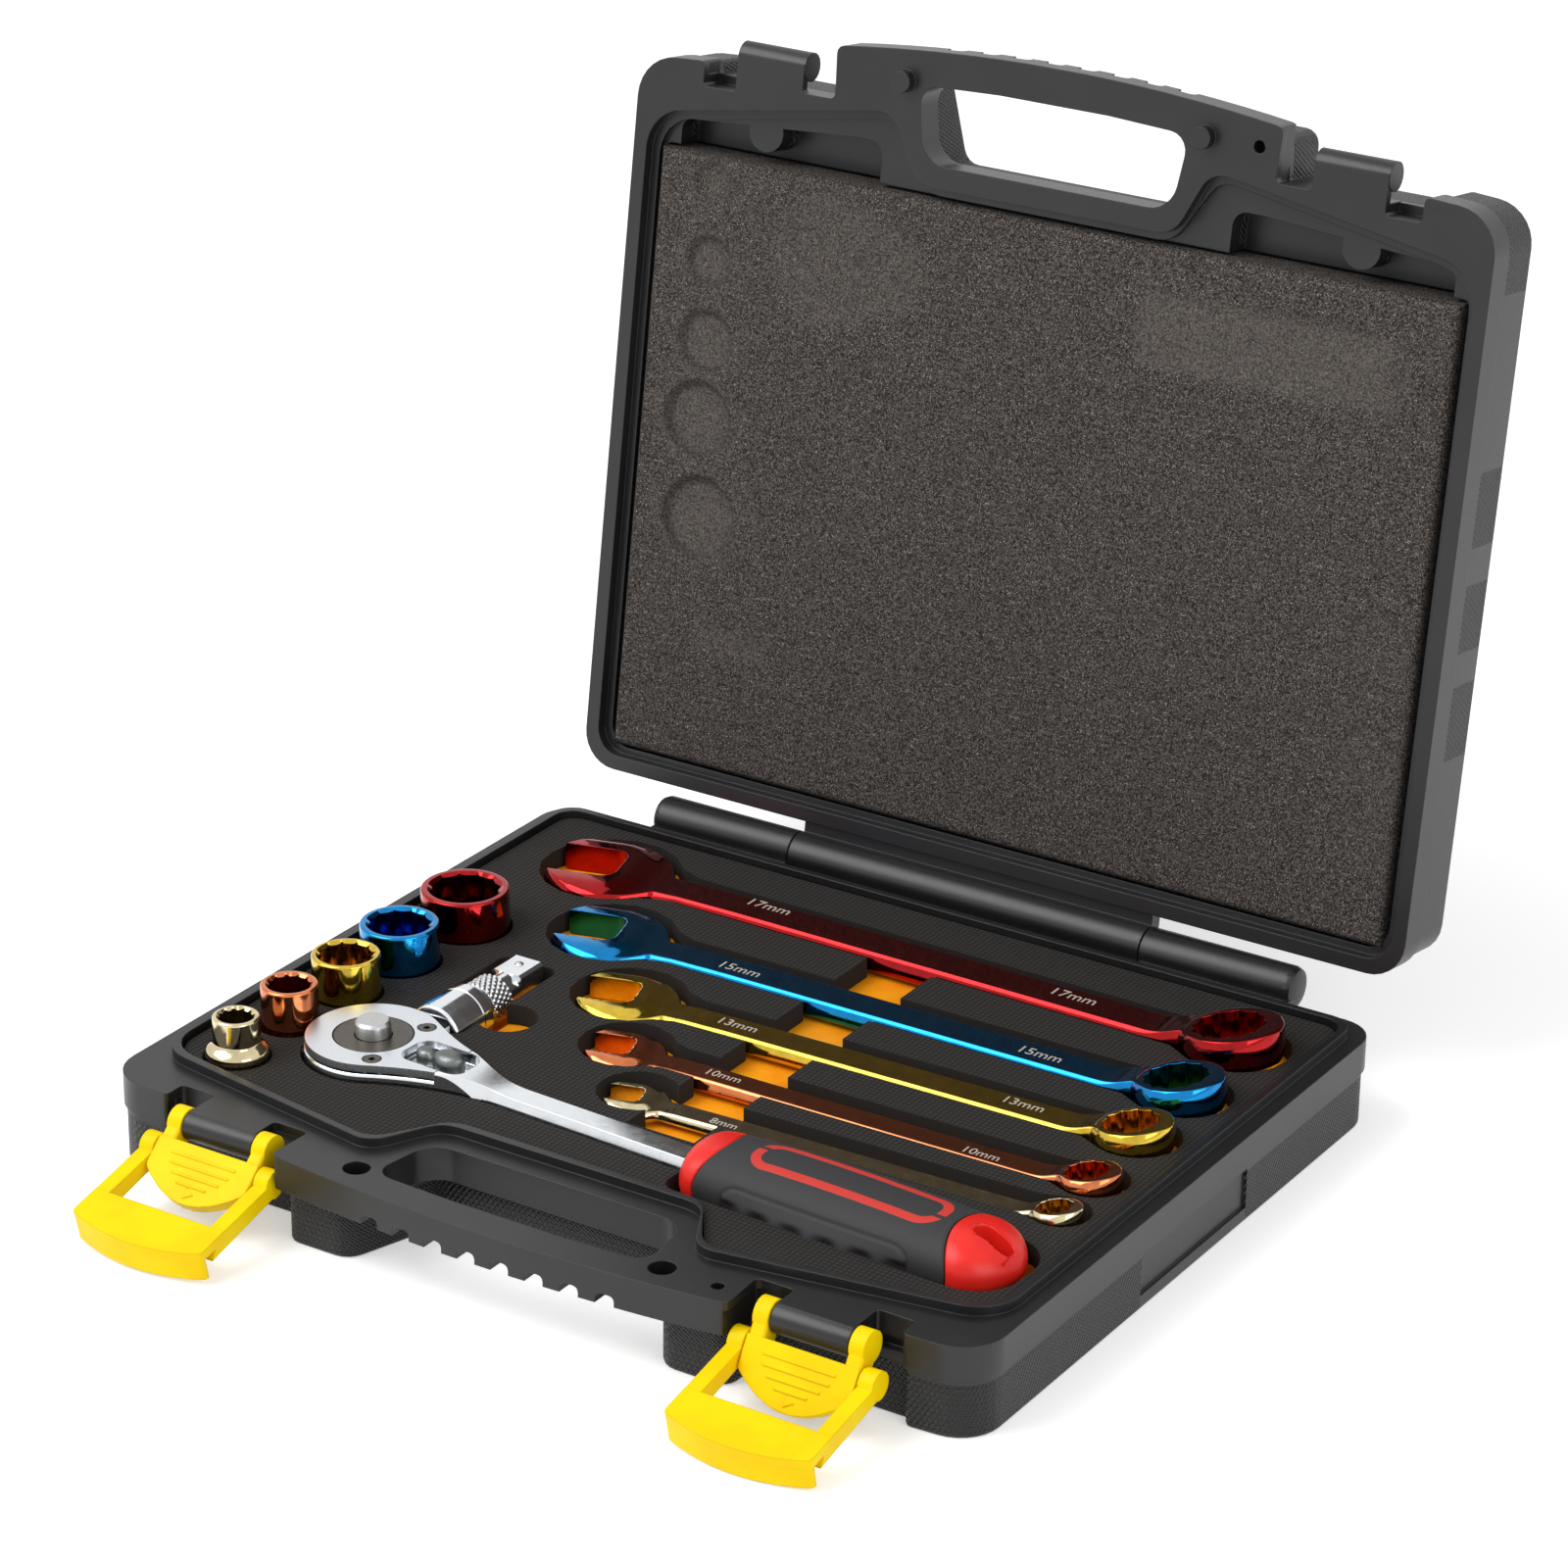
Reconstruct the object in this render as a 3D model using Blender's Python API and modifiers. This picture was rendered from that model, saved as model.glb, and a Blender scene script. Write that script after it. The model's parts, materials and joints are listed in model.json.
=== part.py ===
"""Socket wrench set in a blow-moulded carry case: case, foam tray, latches, sockets, spanners and ratchet.

Case coordinates: X runs along the front edge, Y from the latch side to the hinge, and Z is up from the
parting plane of the two shells. Every piece is shaped there and then placed on its own pivot.
"""

import math

import bmesh
import bpy
from mathutils import Matrix, Vector

MM = 0.001
COLLECTION = "socket_wrench_set"
CHORD_SAG = 0.08 * MM            # how far an outline's chords may lie inside its arcs

# Case
CASE_W = 258 * MM                # overall width
CASE_D = 204.4 * MM              # front line to the back face
SHELL_H = 25 * MM                # depth of each half
RIM_H = 9 * MM                   # smooth band under the rim
BODY_INSET = 0.8 * MM            # lower body stands in from the rim band by this
FRONT_R = 12 * MM
BACK_R = 10 * MM
BOTTOM_R = 4 * MM
PANEL = (80 * MM, 134 * MM)      # plain panel let into each side of the base, front and back end
PANEL_DEEP = 0.8 * MM
FRONT_BOW = 4.4 * MM             # how far the front line curves back at the corners
FRONT_OUT = 2.2 * MM             # how far it stands forward in the middle
FLOOR_T = 2.5 * MM
SHUT_GAP = 0.35 * MM             # between the two rims when shut
FIT = 0.3 * MM                   # gap between pieces that touch
LID_OPEN = math.radians(98.4)

# Handle
HANDLE_HALF = 67 * MM
HANDLE_OUT = 9.8 * MM            # handle corner in front of the front line
HANDLE_ARCH = 4.4 * MM           # extra reach at mid-span
SLOT_HALF = 40.5 * MM
SLOT_FRONT = -3.4 * MM
SLOT_BACK = 17 * MM
SLOT_TAPER = 3 * MM              # the slot is this much shorter each side at its back
WALL_BEHIND_SLOT = 2.3 * MM
FOOT_HALF = 46 * MM              # inner side of the two front feet
FOOT_OUT = 5.0 * MM              # feet in front of the front line
RIBS = 7
RIB_PITCH = 9.9 * MM
SCOOP_HALF = 2.6 * MM            # finger scoops between the ribs
SCOOP_DEEP = 2.8 * MM
SCOOP_SOFT = 1.4 * MM
SCOOP_BACK = 1.8 * MM            # wall left between a scoop and the handle's slot
PEG_X = 45 * MM
PEG_Y = -3.8 * MM
PEG_R = 3.0 * MM
PEG_LEN = 2.8 * MM
PEG_CLEAR = 0.5 * MM
SCREW_X = 60.7 * MM
SCREW_R = 1.7 * MM

# Ridge round the tray, and the pocket inside it
RIDGE_H = 2.6 * MM
RIDGE_T = 2.0 * MM
FLANGE = 4.5 * MM                # rim edge to the ridge
POCKET_EAR = 5.0 * MM            # ridge beside the handle slot
POCKET_SIDE = 17.5 * MM          # ridge at the front corners
POCKET_DIP = 23.5 * MM           # ridge behind the handle slot
DIP_HALF = 38.5 * MM
EAR_HALF = 48 * MM
REBATE_H = 3.3 * MM
REBATE_CLEAR = 0.4 * MM

# Hinge
HINGE_GAP = 9.1 * MM             # back face to the hinge axis
BARREL_R = 6.0 * MM
BARREL_HALF = 101 * MM
KNUCKLE_HALF = 55.5 * MM
KNUCKLE_CLEAR = 0.5 * MM
PIN_R = 1.6 * MM
PIN_CLEAR = 0.3 * MM
WEB_T = 4.5 * MM
WEB_Z = 1.4 * MM
BARREL_SOFT = 2.4 * MM

# Latches
LATCH_X = 87.2 * MM              # middle of each latch
RECESS_HALF = 21 * MM
RECESS_WALL = 5.0 * MM
TAB_HALF = 10.5 * MM
TAB_T = 2.5 * MM
BAR_HALF = TAB_HALF + 0.15 * MM
NOTCH_IN = 4.6 * MM              # back of the notch beside the handle
NOTCH_OUT = 7.6 * MM             # back of the notch beside the corner
BAR_R = 4.0 * MM
BAR_Y = -2.0 * MM
BAR_DROP = 4.15 * MM             # bar centre to the rim plane
ARM_T = 4.3 * MM
ARM_CLEAR = 0.45 * MM
HANDLE_LEN = 21 * MM             # latch handle, bar to free edge
HANDLE_T = 3.2 * MM
HANDLE_BOW = 7 * MM              # its free edge comes to a soft point
EYE_R = 4.2 * MM
NUB_R = 1.7 * MM
NUB_LEN = 1.6 * MM
BAIL_PIVOT = 8 * MM              # bar to the bail's pivot
BAIL_EYE_R = 3.7 * MM
BAIL_HOOK = BAIL_PIVOT + 2 * BAR_DROP + SHUT_GAP + BAR_R + FIT
BAIL_LEN = 34.5 * MM
BAIL_BOW = 4 * MM
BAIL_T = 2.6 * MM
LIP_T = 3.0 * MM
LIP_LEN = 7.0 * MM
HANDLE_DROP = {"left": math.radians(42), "right": math.radians(58)}
BAIL_DROP = {"left": math.radians(13), "right": math.radians(11.5)}

# Foam
FOAM_TOP = 0.6 * MM              # tray face above the parting plane
LAYER_Z = -5.0 * MM              # underside of the black layer
FOAM_CLEAR = 0.6 * MM
TOOL_CLEAR = 0.8 * MM
STRIP_X = 7 * MM                 # finger strip across the spanners
STRIP_W = 20 * MM
STRIP_FRONT = 52 * MM
SLOT_BACK_GAP = 1.6 * MM         # spanner slots are this much wider at the back
FINGER_HOLE = (-61.5 * MM, 83 * MM)
FINGER_HOLE_R = 8.0 * MM
LID_FOAM_GAP = 1.6 * MM          # lid pad below the rim
LID_FOAM_FRONT = 26.5 * MM
LID_FOAM_BACK = 197.5 * MM
LID_FOAM_HALF = 121 * MM
LID_FOAM_CLEAR = 0.8 * MM
SHELF_H = 5.5 * MM
WINDOW_H = 14 * MM
WINDOW_FRONT = 14.5 * MM
BOSS_R = 5.5 * MM
BOSS_X = 90 * MM
DENT_CLEAR = 2.4 * MM
DENT_OVER = 0.9 * MM

# Sockets: outside radius at the nut end, height, and place, by size
SOCKET_TOP = 12 * MM
SOCKETS = {
    17: (12.0 * MM, 30 * MM, (-103.4 * MM, 122.5 * MM)),
    15: (10.6 * MM, 29 * MM, (-105.0 * MM, 95.2 * MM)),
    13: (9.1 * MM, 28 * MM, (-105.3 * MM, 72.2 * MM)),
    10: (7.5 * MM, 28 * MM, (-106.6 * MM, 49.8 * MM)),
    8: (6.1 * MM, 27 * MM, (-106.4 * MM, 27.4 * MM)),
}
SOCKET_BASE_R = 8.2 * MM         # drive end of the small sockets
DRIVE = 9.5 * MM                 # 3/8 inch square
DRIVE_CLEAR = 0.15 * MM
DRIVE_DEPTH = 11 * MM
NUT_CLEAR = 0.1 * MM

# Spanners: length, place of the ring along Y, and turn in degrees, by size
RING_END_X = 116.3 * MM
SPANNERS = {
    17: (226 * MM, 172.6 * MM, -0.2),
    15: (201 * MM, 141.6 * MM, 0.5),
    13: (174 * MM, 115.2 * MM, 1.4),
    10: (155 * MM, 89.4 * MM, 1.0),
    8: (136 * MM, 70.8 * MM, 1.8),
}
JAW_ANGLE = math.radians(15)
JAW_DEPTH = 0.22                 # how far past the head's centre the jaw is cut, over its size
SHANK_LIFT = 0.6 * MM
RING_TILT = math.radians(10)     # the ring's far side stands up

# Ratchet, drawn with its head centre at the origin and its grip along +X
HEAD = (-79.2 * MM, 49.0 * MM)
RATCHET_TURN = math.radians(-2.8)
HEAD_R = 18.0 * MM
RATCHET_TOP = 5.3 * MM
HEAD_BOTTOM = -7.0 * MM
SHAFT_HALF = 5.2 * MM
SHAFT_BOTTOM = -4.4 * MM
NECK_END = 44 * MM
SHAFT_TOP = 2.5 * MM             # shaft's top, below the head's
SLOPE_START = 27 * MM            # where the neck starts to drop to the shaft
PLATE_EDGE = 1.6 * MM            # head's rim left round the cover plate
PLATE_T = 2.2 * MM
SEAM = 26 * MM                   # head centre to the end of the cover plate
GEAR_R = 11.2 * MM
GEAR_TEETH = 30
TOOTH = 0.8 * MM
GEAR_TOP = 2.4 * MM
GEAR_BOTTOM = -4.0 * MM
GEAR_CLEAR = 0.8 * MM
DISC_R = 10.2 * MM
HUB_R = 7.2 * MM
DRIVE_END = -17.5 * MM
BUTTON_R = 4.7 * MM
BUTTON_TOP = 9.4 * MM
BUTTON_T = 6.4 * MM
BUTTON_TRAVEL = 2.0 * MM
STEM_R = 1.9 * MM
BALL_R = 1.6 * MM
BALL_OUT = 0.7 * MM              # how far a detent ball stands out of its square
LEVER_PIVOT = 17.5 * MM          # head centre to the reverse lever's pivot
LEVER_REACH = 9.0 * MM
LEVER_R = 3.6 * MM
LEVER_HUB_R = 2.7 * MM
LEVER_TOP = 6.6 * MM
RECESS_FLOOR = 2.2 * MM
RECESS_HALF_W = 6.4 * MM
LEVER_STEM_R = 1.6 * MM
PAWL_REACH = 5.6 * MM
PAWL_HALF = 2.6 * MM
CHAMBER_R = 6.9 * MM
SCREW_AT = (8.6 * MM, 11.05 * MM)
SCREW_HEAD_R = 2.2 * MM
SCREW_SHANK_R = 1.1 * MM
GRIP_START = 104 * MM            # head centre to the ferrule
SLEEVE_START = 112.5 * MM
SLEEVE_END = 180 * MM
GRIP_END = 197 * MM
GRIP_Z = 0.6 * MM
GRIP_R = 14.2 * MM               # widest half-width of the grip
CAP_R = 13.2 * MM
CAP_STRAIGHT = 0.12              # share of the cap's length before it curves in
CAP_POWER = 1.25
FERRULE_R = 12.4 * MM
GRIP_FLAT = 0.70                 # height of the grip's section over its width
CORE_R = 8.8 * MM
TANG_R = 4.2 * MM
TANG_LEN = 34 * MM
HANG_R = 2.7 * MM
HANG_LEN = 5.0 * MM              # between the centres of the hanging slot's round ends
HANG_INSET = 5.2 * MM            # outer centre to the end of the grip

# Extension bar, along Y
EXT_X = -75 * MM
EXT_Z = -2.0 * MM
EXT_START = 68.8 * MM
EXT_R = 8.0 * MM
EXT_BODY = 16.5 * MM
EXT_NECK_R = 5.4 * MM
EXT_NECK = 2.0 * MM
EXT_COLLAR_R = 6.6 * MM
EXT_COLLAR = 8.5 * MM
EXT_STEM_R = 4.7 * MM
EXT_STEM = 5.5 * MM
EXT_TIP = 11.0 * MM

HINGE_Y = CASE_D + HINGE_GAP


# ---------------------------------------------------------------- helpers

def link(name, mesh):
    obj = bpy.data.objects.new(name, mesh)
    bpy.data.collections[COLLECTION].objects.link(obj)
    return obj


def bake(obj):
    """Replaces the object's mesh with its modified one."""
    graph = bpy.context.evaluated_depsgraph_get()
    mesh = bpy.data.meshes.new_from_object(obj.evaluated_get(graph))
    obj.modifiers.clear()
    old = obj.data
    obj.data = mesh
    bpy.data.meshes.remove(old)
    return obj


def boolean(obj, operation, *others):
    """Joins or cuts obj with the other objects, which are used up."""
    for other in others:
        mod = obj.modifiers.new(operation.lower(), "BOOLEAN")
        mod.operation = operation
        mod.object = other
        mod.solver = "EXACT"
    bake(obj)
    for other in others:
        bpy.data.objects.remove(other)
    return obj


def cut(obj, *others):
    return boolean(obj, "DIFFERENCE", *others)


def join(obj, *others):
    return boolean(obj, "UNION", *others)


def bevel(obj, width, segments=1, angle=math.radians(40)):
    mod = obj.modifiers.new("bevel", "BEVEL")
    mod.width = width
    mod.segments = segments
    mod.limit_method = "ANGLE"
    mod.angle_limit = angle
    mod.use_clamp_overlap = True
    return bake(obj)


def move(obj, x=0.0, y=0.0, z=0.0):
    obj.data.transform(Matrix.Translation((x, y, z)))
    return obj


def turn(obj, angle, axis="Z", about=(0, 0, 0)):
    centre = Vector(about)
    obj.data.transform(
        Matrix.Translation(centre) @ Matrix.Rotation(angle, 4, axis) @ Matrix.Translation(-centre)
    )
    return obj


def box(x0, x1, y0, y1, z0, z1):
    bm = bmesh.new()
    bmesh.ops.create_cube(bm, size=1)
    for vert in bm.verts:
        vert.co.x = x1 if vert.co.x > 0 else x0
        vert.co.y = y1 if vert.co.y > 0 else y0
        vert.co.z = z1 if vert.co.z > 0 else z0
    mesh = bpy.data.meshes.new("box")
    bm.to_mesh(mesh)
    bm.free()
    return link("box", mesh)


def cylinder(radius, z0, z1, at=(0, 0), segments=32, top=None):
    """An upright cylinder, or a cone when the top radius differs."""
    bm = bmesh.new()
    bmesh.ops.create_cone(
        bm, cap_ends=True, segments=segments, radius1=radius,
        radius2=radius if top is None else top, depth=z1 - z0,
    )
    mesh = bpy.data.meshes.new("cylinder")
    bm.to_mesh(mesh)
    bm.free()
    return move(link("cylinder", mesh), at[0], at[1], (z0 + z1) / 2)


def rod_x(radius, x0, x1, y, z, segments=24):
    """A cylinder along X."""
    obj = cylinder(radius, x0, x1, segments=segments)
    turn(obj, math.radians(90), "Y")
    return move(obj, 0, y, z)


def sphere(radius, at):
    bm = bmesh.new()
    bmesh.ops.create_uvsphere(bm, u_segments=10, v_segments=6, radius=radius)
    mesh = bpy.data.meshes.new("sphere")
    bm.to_mesh(mesh)
    bm.free()
    return move(link("sphere", mesh), *at)


def rounded(corners):
    """An outline from (x, y, radius) corners, with each radius as an arc of short chords."""
    points = []
    count = len(corners)
    for i, (x, y, radius) in enumerate(corners):
        here = Vector((x, y))
        if radius <= 0:
            points.append(here)
            continue
        before = Vector(corners[i - 1][:2]) - here
        after = Vector(corners[(i + 1) % count][:2]) - here
        angle = before.angle(after)
        reach = radius / math.tan(angle / 2)
        start = here + before.normalized() * reach
        end = here + after.normalized() * reach
        centre = here + (before.normalized() + after.normalized()).normalized() * (
            radius / math.sin(angle / 2)
        )
        a0 = math.atan2(start.y - centre.y, start.x - centre.x)
        sweep = math.atan2(end.y - centre.y, end.x - centre.x) - a0
        sweep = (sweep + math.pi) % (2 * math.pi) - math.pi
        step = 2 * math.acos(1 - min(CHORD_SAG / radius, 0.5))
        parts = max(2, math.ceil(abs(sweep) / step))
        for k in range(parts + 1):
            a = a0 + sweep * k / parts
            points.append(centre + radius * Vector((math.cos(a), math.sin(a))))
    return points


def mirrored(corners):
    """Closes a right-hand half outline, given from end to end, with its mirror image."""
    return corners + [(-x, y, r) for x, y, r in reversed(corners)]


def slab(points, z0, z1):
    """A flat outline given its thickness, as a closed mesh."""
    curve = bpy.data.curves.new("outline", "CURVE")
    curve.dimensions = "2D"
    curve.fill_mode = "BOTH"
    curve.extrude = (z1 - z0) / 2
    spline = curve.splines.new("POLY")
    spline.points.add(len(points) - 1)
    for point, place in zip(spline.points, points):
        point.co = (place[0], place[1], 0, 1)
    spline.use_cyclic_u = True
    guide = link("outline", curve)
    graph = bpy.context.evaluated_depsgraph_get()
    mesh = bpy.data.meshes.new_from_object(guide.evaluated_get(graph))
    bpy.data.objects.remove(guide)
    bm = bmesh.new()
    bm.from_mesh(mesh)
    bmesh.ops.remove_doubles(bm, verts=bm.verts, dist=1e-6)
    for side in (-1, 1):
        cap = [f for f in bm.faces if all(v.co.z * side > 0 for v in f.verts)]
        bmesh.ops.dissolve_faces(bm, faces=cap)
    bmesh.ops.recalc_face_normals(bm, faces=bm.faces)
    bm.to_mesh(mesh)
    bm.free()
    return move(link("slab", mesh), 0, 0, (z0 + z1) / 2)


def turned(profile, steps=20):
    """A solid of revolution about Z from (radius, z) points, listed top to bottom."""
    mesh = bpy.data.meshes.new("profile")
    edges = [(i, i + 1) for i in range(len(profile) - 1)]
    mesh.from_pydata([(r, 0, z) for r, z in profile], edges, [])
    obj = link("turned", mesh)
    mod = obj.modifiers.new("screw", "SCREW")
    mod.axis = "Z"
    mod.steps = steps
    mod.render_steps = steps
    mod.use_merge_vertices = True
    mod.merge_threshold = 0.00001
    mod.use_smooth_shade = False
    return bake(obj)


def finish(obj, name, look, at=(0, 0, 0), tilt=0.0, spin=0.0, parent="case_frame"):
    """Names a finished piece, gives it its material and places it; its mesh is drawn about its own origin."""
    obj.name = name
    obj.data.name = name
    obj.parent = bpy.data.objects[parent]
    obj.location = at
    obj.rotation_euler = (tilt, 0, spin)
    obj.data.materials.clear()
    obj.data.materials.append(material(look))
    obj.data.shade_smooth()
    obj.data.set_sharp_from_angle(angle=math.radians(35))
    return obj


LOOKS = {
    "case_plastic": ((0.045, 0.045, 0.048), 0.5, 0.0),
    "latch_plastic": ((0.95, 0.66, 0.0), 0.42, 0.0),
    "black_foam": ((0.035, 0.033, 0.032), 0.95, 0.0),
    "orange_foam": ((0.95, 0.36, 0.005), 0.85, 0.0),
    "grey_foam": ((0.075, 0.065, 0.058), 0.98, 0.0),
    "chrome": ((0.78, 0.79, 0.8), 0.12, 1.0),
    "dark_steel": ((0.12, 0.115, 0.11), 0.35, 1.0),
    "satin_steel": ((0.5, 0.5, 0.5), 0.35, 1.0),
    "pewter": ((0.2, 0.21, 0.21), 0.4, 1.0),
    "red_metal": ((0.5, 0.02, 0.02), 0.2, 1.0),
    "blue_metal": ((0.01, 0.25, 0.55), 0.2, 1.0),
    "gold_metal": ((0.75, 0.5, 0.08), 0.2, 1.0),
    "copper_metal": ((0.7, 0.3, 0.12), 0.2, 1.0),
    "pale_metal": ((0.75, 0.62, 0.4), 0.2, 1.0),
    "red_plastic": ((0.75, 0.025, 0.02), 0.4, 0.0),
    "black_rubber": ((0.03, 0.03, 0.032), 0.7, 0.0),
}
SIZE_LOOK = {17: "red_metal", 15: "blue_metal", 13: "gold_metal", 10: "copper_metal", 8: "pale_metal"}


def material(name):
    if name in bpy.data.materials:
        return bpy.data.materials[name]
    mat = bpy.data.materials.new(name)
    mat.use_nodes = True
    colour, rough, metal = LOOKS[name]
    node = mat.node_tree.nodes["Principled BSDF"]
    node.inputs["Base Color"].default_value = (*colour, 1)
    node.inputs["Roughness"].default_value = rough
    node.inputs["Metallic"].default_value = metal
    mat.diffuse_color = (*colour, 1)
    return mat


# ---------------------------------------------------------------- case shells

def front_line(x):
    """The front edge of the rim bows gently outwards to the middle."""
    return FRONT_BOW * (x / (CASE_W / 2)) ** 2 - FRONT_OUT


def handle_front(x):
    return -HANDLE_OUT - HANDLE_ARCH * (1 - (x / HANDLE_HALF) ** 2)


def rim_outline():
    """Outline at the parting plane, from the middle of the handle round the right-hand side."""
    half = CASE_W / 2
    inner = LATCH_X - RECESS_HALF
    outer = LATCH_X + RECESS_HALF
    tab_in = LATCH_X - TAB_HALF
    tab_out = LATCH_X + TAB_HALF
    tab_front = BAR_Y - BAR_R / 4
    corners = [(HANDLE_HALF * k / 8, handle_front(HANDLE_HALF * k / 8), 0) for k in range(1, 8)]
    corners += [
        (HANDLE_HALF, -HANDLE_OUT, 2.2 * MM),
        (inner, NOTCH_IN, 1.6 * MM),
        (tab_in, NOTCH_IN, 1.2 * MM),
        (tab_in, tab_front, 0),
        (tab_out, tab_front, 0),
        (tab_out, NOTCH_OUT, 1.2 * MM),
        (outer, NOTCH_OUT, 1.2 * MM),
        (outer, front_line(outer), 1.5 * MM),
        (half, front_line(half), FRONT_R),
        (half, CASE_D, BACK_R),
    ]
    return rounded(mirrored(corners))


def body_outline():
    """Outline of the deep body under the rim, with its two front feet and the latch recesses."""
    half = CASE_W / 2 - BODY_INSET
    inner = LATCH_X - RECESS_HALF
    outer = LATCH_X + RECESS_HALF
    foot_front = front_line(FOOT_HALF) - FOOT_OUT
    corners = [
        (SLOT_HALF - SLOT_TAPER, SLOT_BACK + WALL_BEHIND_SLOT, 5 * MM),
        (FOOT_HALF, foot_front, 6 * MM),
        (inner - BODY_INSET, foot_front, 4 * MM),
        (inner, RECESS_WALL, 0.8 * MM),
        (outer, RECESS_WALL, 0.8 * MM),
        (outer + BODY_INSET, front_line(outer) + BODY_INSET, 2 * MM),
        (half, front_line(half) + BODY_INSET, FRONT_R - BODY_INSET),
        (half, CASE_D - BODY_INSET, BACK_R - BODY_INSET),
    ]
    return rounded(mirrored(corners))


def ridge_outline(inset):
    """The line of the ridge round the tray, moved inwards by inset."""
    half = CASE_W / 2 - FLANGE - inset
    corners = [
        (DIP_HALF - 0.6 * inset, POCKET_DIP + inset, 8 * MM),
        (EAR_HALF + 0.5 * inset, POCKET_EAR + inset, 7 * MM),
        (half, POCKET_SIDE + inset, FRONT_R - 0.5 * inset),
        (half, CASE_D - FLANGE - inset, BACK_R - 3 * MM - 0.5 * inset),
    ]
    return rounded(mirrored(corners))


def slot_outline():
    corners = [
        (SLOT_HALF * 0.4, SLOT_FRONT - 1.1 * MM, 0),
        (SLOT_HALF, SLOT_FRONT, 5 * MM),
        (SLOT_HALF - SLOT_TAPER, SLOT_BACK, 8 * MM),
    ]
    return rounded(mirrored(corners))


def soften_floor(body):
    """Rounds only the edges of the bottom face."""
    bm = bmesh.new()
    bm.from_mesh(body.data)
    low = min(v.co.z for v in bm.verts)
    edges = [e for e in bm.edges
             if all(abs(v.co.z - low) < 1e-6 for v in e.verts) and e.calc_face_angle(0) > 1]
    bmesh.ops.bevel(bm, geom=edges, offset=BOTTOM_R, segments=2, profile=0.5, affect="EDGES",
                    clamp_overlap=True)
    bm.to_mesh(body.data)
    bm.free()
    return body


def handle_scoop(x):
    """The hollow between two finger ribs, to be cut from under the handle."""
    low = -RIM_H - 1 * MM
    high = -RIM_H + SCOOP_DEEP
    outline = rounded([(x - SCOOP_HALF, low, 0), (x + SCOOP_HALF, low, 0),
                       (x + SCOOP_HALF, high, SCOOP_SOFT), (x - SCOOP_HALF, high, SCOOP_SOFT)])
    scoop = slab(outline, 0, HANDLE_OUT + HANDLE_ARCH)
    turn(scoop, math.radians(90), "X")
    return move(scoop, y=SLOT_FRONT - SCOOP_BACK)


def shell_blank():
    """One half of the case as a solid lying below the parting plane, before its pocket is cut."""
    shell = slab(rim_outline(), -RIM_H, 0)
    for side in (-1, 1):
        x = side * LATCH_X
        cut(shell, box(x - RECESS_HALF - FIT, x + RECESS_HALF + FIT, -20 * MM, RECESS_WALL - FIT,
                       -RIM_H - 1 * MM, -TAB_T))
    join(shell, soften_floor(slab(body_outline(), -SHELL_H, -RIM_H + 1 * MM)))
    for side in (-1, 1):
        x = side * LATCH_X
        join(shell, rod_x(BAR_R, x - BAR_HALF, x + BAR_HALF, BAR_Y, -BAR_DROP, 18))
    cut(shell, *[handle_scoop((k - RIBS / 2) * RIB_PITCH) for k in range(RIBS + 1)])
    return shell


def latch_pin_bores(shell):
    """Blind bores in the ends of both latch bars, for the pins of the latch handles."""
    for side in (-1, 1):
        for end in (-1, 1):
            near = side * LATCH_X + end * (BAR_HALF + 1 * MM)
            deep = side * LATCH_X + end * (BAR_HALF - NUB_LEN - FIT)
            cut(shell, rod_x(NUB_R + FIT, min(near, deep), max(near, deep), BAR_Y, -BAR_DROP, 14))


def barrel(x0, x1, soft_left=0.0, soft_right=0.0):
    """A hinge barrel along X, with a soft end where it is free."""
    profile = [(0, x1)]
    for z, soft, way in ((x1, soft_right, -1), (x0, soft_left, 1)):
        ring = [(BARREL_R, z)]
        if soft:
            ring = [(BARREL_R - soft, z), (BARREL_R - 0.3 * soft, z + way * 0.3 * soft),
                    (BARREL_R, z + way * soft)]
        profile += ring if way < 0 else ring[::-1]
    profile.append((0, x0))
    obj = turned(profile, 20)
    turn(obj, math.radians(90), "Y")
    return move(obj, 0, HINGE_Y, 0)


def web(x0, x1, side):
    """The strap from a shell's back wall to its barrel; side is -1 on the base and 1 on the lid."""
    z0, z1 = sorted((side * WEB_Z, side * (WEB_Z + WEB_T)))
    return box(x0 + FIT, x1 - FIT, CASE_D - 3 * MM, HINGE_Y - WEB_Z, z0, z1)


def pin_bore():
    return rod_x(PIN_R + PIN_CLEAR, -BARREL_HALF - 2 * MM, BARREL_HALF - 4 * MM, HINGE_Y, 0, 18)


def base_shell():
    shell = shell_blank()
    latch_pin_bores(shell)
    join(shell, slab(ridge_outline(0), -1.5 * MM, RIDGE_H))
    cut(shell, slab(ridge_outline(RIDGE_T), -SHELL_H + FLOOR_T, RIDGE_H + 5 * MM))
    cut(shell, slab(slot_outline(), -SHELL_H, 5 * MM))
    inner = KNUCKLE_HALF + KNUCKLE_CLEAR / 2
    for side in (-1, 1):
        x0, x1 = sorted((side * inner, side * BARREL_HALF))
        soft = (BARREL_SOFT, 0) if side < 0 else (0, BARREL_SOFT)
        join(shell, web(x0, x1, -1), barrel(x0, x1, *soft))
    cut(shell, pin_bore())
    for side in (-1, 1):
        cut(shell, cylinder(PEG_R + PEG_CLEAR, -PEG_LEN - 3 * MM, 1 * MM, (side * PEG_X, PEG_Y), 20))
    cut(shell, cylinder(SCREW_R, -6 * MM, 1 * MM, (SCREW_X, PEG_Y), 14))
    face = CASE_W / 2 - BODY_INSET - PANEL_DEEP
    for side in (-1, 1):
        x0, x1 = sorted((side * face, side * (face + 5 * MM)))
        cut(shell, box(x0, x1, *PANEL, -SHELL_H + BOTTOM_R, -RIM_H))
    return finish(shell, "base_shell", "case_plastic")


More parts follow.
